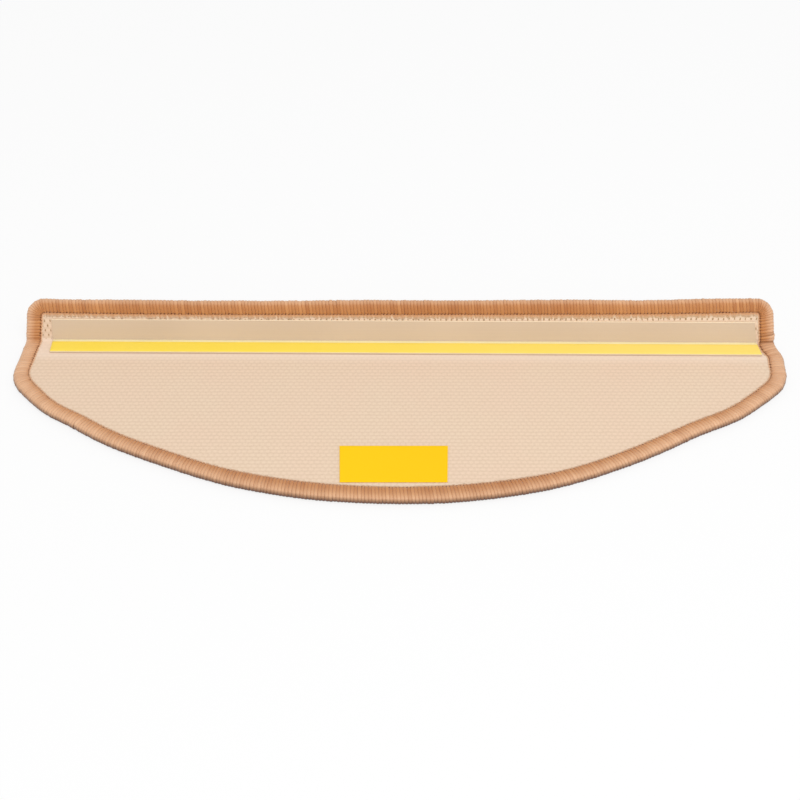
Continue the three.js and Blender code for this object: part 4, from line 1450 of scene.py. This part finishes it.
def adhesive_tape():
    """Acrylic adhesive on a cream carrier: smooth and a little glossy, with a faint grain."""
    material, tree = new_material("cream_acrylic_tape")
    place = add(tree, "ShaderNodeTexCoord")
    grain = add(tree, "ShaderNodeTexNoise",
                {"Vector": place.outputs["Object"], "Scale": TAPE_GRAIN_PER_MM / MM, "Detail": 3.0})
    bump = add(tree, "ShaderNodeBump",
               {"Height": grain.outputs["Fac"], "Strength": 0.3, "Distance": TAPE_GRAIN_HEIGHT})
    cloud = add(tree, "ShaderNodeTexNoise",
                {"Vector": place.outputs["Object"], "Scale": TAPE_CLOUDS_PER_METRE, "Detail": 1.0})
    colour = add(tree, "ShaderNodeMix", {0: cloud.outputs["Fac"], MIX_A: linear(TAPE_CREAM),
                                         MIX_B: linear(TAPE_CREAM_PALE)}, data_type="RGBA")
    shader = add(tree, "ShaderNodeBsdfPrincipled",
                 {"Base Color": colour.outputs[MIX_RESULT], "Roughness": 0.35, "IOR": 1.47,
                  "Normal": bump.outputs[0]})
    add(tree, "ShaderNodeOutputMaterial", {"Surface": shader.outputs[0]})
    return material


# %% Build the strip on the angle
TAPE_CELL = 4 * MM
TAPE_RIPPLE = 0.05 * MM
LINER_RIPPLE = 0.08 * MM
STRIP_LINER_CELL = 2.5 * MM
STRIP_REFLECTION_SPAN = (-100 * MM, 300 * MM)
STRIP_TAPE_SEED, STRIP_LINER_SEED = 11, 12

strip_left = ANGLE_LEFT_END + STRIP_END_MARGIN
strip_right = ANGLE_RIGHT_END - STRIP_END_MARGIN
strip_front = STRIP_EDGE_MARGIN - ANGLE_TREAD_LEG
strip_back = ANGLE_INNER_ALONG - STRIP_EDGE_MARGIN
tape_material = adhesive_tape()

strip_tape = thin_strip(
    "strip_tape", "strip_adhesive", (strip_left, strip_right, strip_front, strip_back),
    (ANGLE_FACE, STRIP_TAPE_THICKNESS), on_angle, TAPE_CELL, TAPE_RIPPLE, STRIP_TAPE_SEED)
dress(strip_tape, tape_material)

liner_sides = (strip_left, strip_right, strip_front, strip_front + STRIP_LINER_WIDTH)
strip_liner = thin_strip(
    "strip_liner", "strip_release_liner", liner_sides,
    (ANGLE_FACE + STRIP_TAPE_THICKNESS, STRIP_LINER_THICKNESS), on_angle, STRIP_LINER_CELL,
    LINER_RIPPLE, STRIP_LINER_SEED)
# The strip's liner is painted paler towards the right, a painted reflection
dress(strip_liner,
      siliconed_paper("pale_yellow_release_paper", LINER_PALE, LINER_PAINTED_REFLECTION, *STRIP_REFLECTION_SPAN))

# %% Build the patch at the front
PATCH_FLARE = 0.03
PATCH_LINER_CELL = 2 * MM
PATCH_TONE_SPAN = (-50 * MM, 50 * MM)
PATCH_TAPE_SEED, PATCH_LINER_SEED = 13, 14
patch_tape_low, patch_tape_high = (np.array(corner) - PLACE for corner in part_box("patch_adhesive"))


def on_patch(across, along, up):
    """Places points of the patch, which is cut a little wider towards the fold."""
    share = (along - patch_tape_low[1]) / (patch_tape_high[1] - patch_tape_low[1])
    from_middle = (across - PATCH_MIDDLE_ACROSS) * (1 + PATCH_FLARE * share)
    return on_cut(PATCH_MIDDLE_ACROSS + from_middle, along, up)


def patch_layer(name, node, low, high, cell, ripple, seed):
    """A layer of the patch between the lowest and highest corners of its solid."""
    sides = (low[0], high[0], low[1], high[1])
    return thin_strip(name, node, sides, (low[2], high[2] - low[2]), on_patch, cell, ripple, seed)


patch_tape = patch_layer("patch_tape", "patch_adhesive", patch_tape_low, patch_tape_high,
                         TAPE_CELL, TAPE_RIPPLE, PATCH_TAPE_SEED)
dress(patch_tape, tape_material)

patch_liner = patch_layer("patch_liner", "patch_release_liner",
                          np.array(patch_low) - PLACE, np.array(patch_high) - PLACE,
                          PATCH_LINER_CELL, LINER_RIPPLE, PATCH_LINER_SEED)
dress(patch_liner,
      siliconed_paper("yellow_release_paper", LINER_YELLOW, LINER_YELLOW_DEEP, *PATCH_TONE_SPAN))

# %% [markdown]
# ## Floor and light
#
# The photograph has a plain white ground and soft light that comes from above and a little from
# the front right. A wide pale floor shows white to the camera and still takes the mat's soft
# shadow. The sky gives most of the light, and one large lamp above the front gives the rest, at a
# level at which a colour shows about as it is written.

# %% Floor
FLOOR_SIZE = 30
FLOOR_WHITE_SHARE = 0.8
FLOOR_COLOUR = "#f6f6f6"
FLOOR_GAP = 0.05 * MM


def seen_directly(tree):
    """Is 1 for rays that come straight from the camera, a mirror or glass."""
    path = add(tree, "ShaderNodeLightPath")
    seen = add(tree, "ShaderNodeMath",
               {0: path.outputs["Is Camera Ray"], 1: path.outputs["Is Glossy Ray"]}, operation="MAXIMUM")
    return add(tree, "ShaderNodeMath", {0: seen.outputs[0], 1: path.outputs["Is Transmission Ray"]},
               operation="MAXIMUM").outputs[0]


half = FLOOR_SIZE / 2
floor_mesh = bpy.data.meshes.new("floor")
floor_corners = [(-half, -half, 0), (half, -half, 0), (half, half, 0), (-half, half, 0)]
floor_mesh.from_pydata(floor_corners, [], [(0, 1, 2, 3)])
floor = bpy.data.objects.new("floor", floor_mesh)
floor.location.z = -FLOOR_GAP
bpy.context.scene.collection.objects.link(floor)
floor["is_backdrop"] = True

floor_material, tree = new_material("pale_studio_floor")
share = add(tree, "ShaderNodeMath", {0: seen_directly(tree), 1: FLOOR_WHITE_SHARE}, operation="MULTIPLY")
matt = add(tree, "ShaderNodeBsdfDiffuse", {"Color": linear(FLOOR_COLOUR)})
white = add(tree, "ShaderNodeEmission", {"Strength": 1.0})
floor_mix = add(tree, "ShaderNodeMixShader",
                {0: share.outputs[0], 1: matt.outputs[0], 2: white.outputs[0]})
add(tree, "ShaderNodeOutputMaterial", {"Surface": floor_mix.outputs[0]})
floor_mesh.materials.append(floor_material)
print("the floor is", FLOOR_SIZE, "m wide and lies", FLOOR_GAP / MM, "mm under the mat")

# %% Sky and lamp
SKY_LEVEL = 0.66
LAMP_SIZE = 1.4
LAMP_POWER = 36
LAMP_PLACE = Vector((0.5, -1.5, 2.3))

world = bpy.data.worlds.new("studio")
world.use_nodes = True
world.node_tree.nodes.clear()
sky = add(world.node_tree, "ShaderNodeBackground", {"Strength": SKY_LEVEL})
backdrop = add(world.node_tree, "ShaderNodeBackground", {"Strength": 1.0})
for background in (sky, backdrop):
    background.inputs["Color"].default_value = (1, 1, 1, 1)
world_mix = add(world.node_tree, "ShaderNodeMixShader",
                {0: seen_directly(world.node_tree), 1: sky.outputs[0], 2: backdrop.outputs[0]})
add(world.node_tree, "ShaderNodeOutputWorld", {"Surface": world_mix.outputs[0]})
bpy.context.scene.world = world

lamp_data = bpy.data.lights.new("softbox", "AREA")
lamp_data.shape = "SQUARE"
lamp_data.size = LAMP_SIZE
lamp_data.energy = LAMP_POWER
lamp = bpy.data.objects.new("softbox", lamp_data)
lamp.location = LAMP_PLACE
lamp.rotation_euler = (-LAMP_PLACE).to_track_quat("-Z", "Y").to_euler()
bpy.context.scene.collection.objects.link(lamp)

bpy.context.scene.view_settings.view_transform = "Standard"
print("lamp of", LAMP_POWER, "W at", [round(value, 1) for value in LAMP_PLACE])

# %% Write the sizes and finish
dressed_box = [list(corner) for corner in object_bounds()]
in_millimetres = [[round(value / MM, 1) for value in corner] for corner in dressed_box]
print("dressed box in millimetres:", in_millimetres)
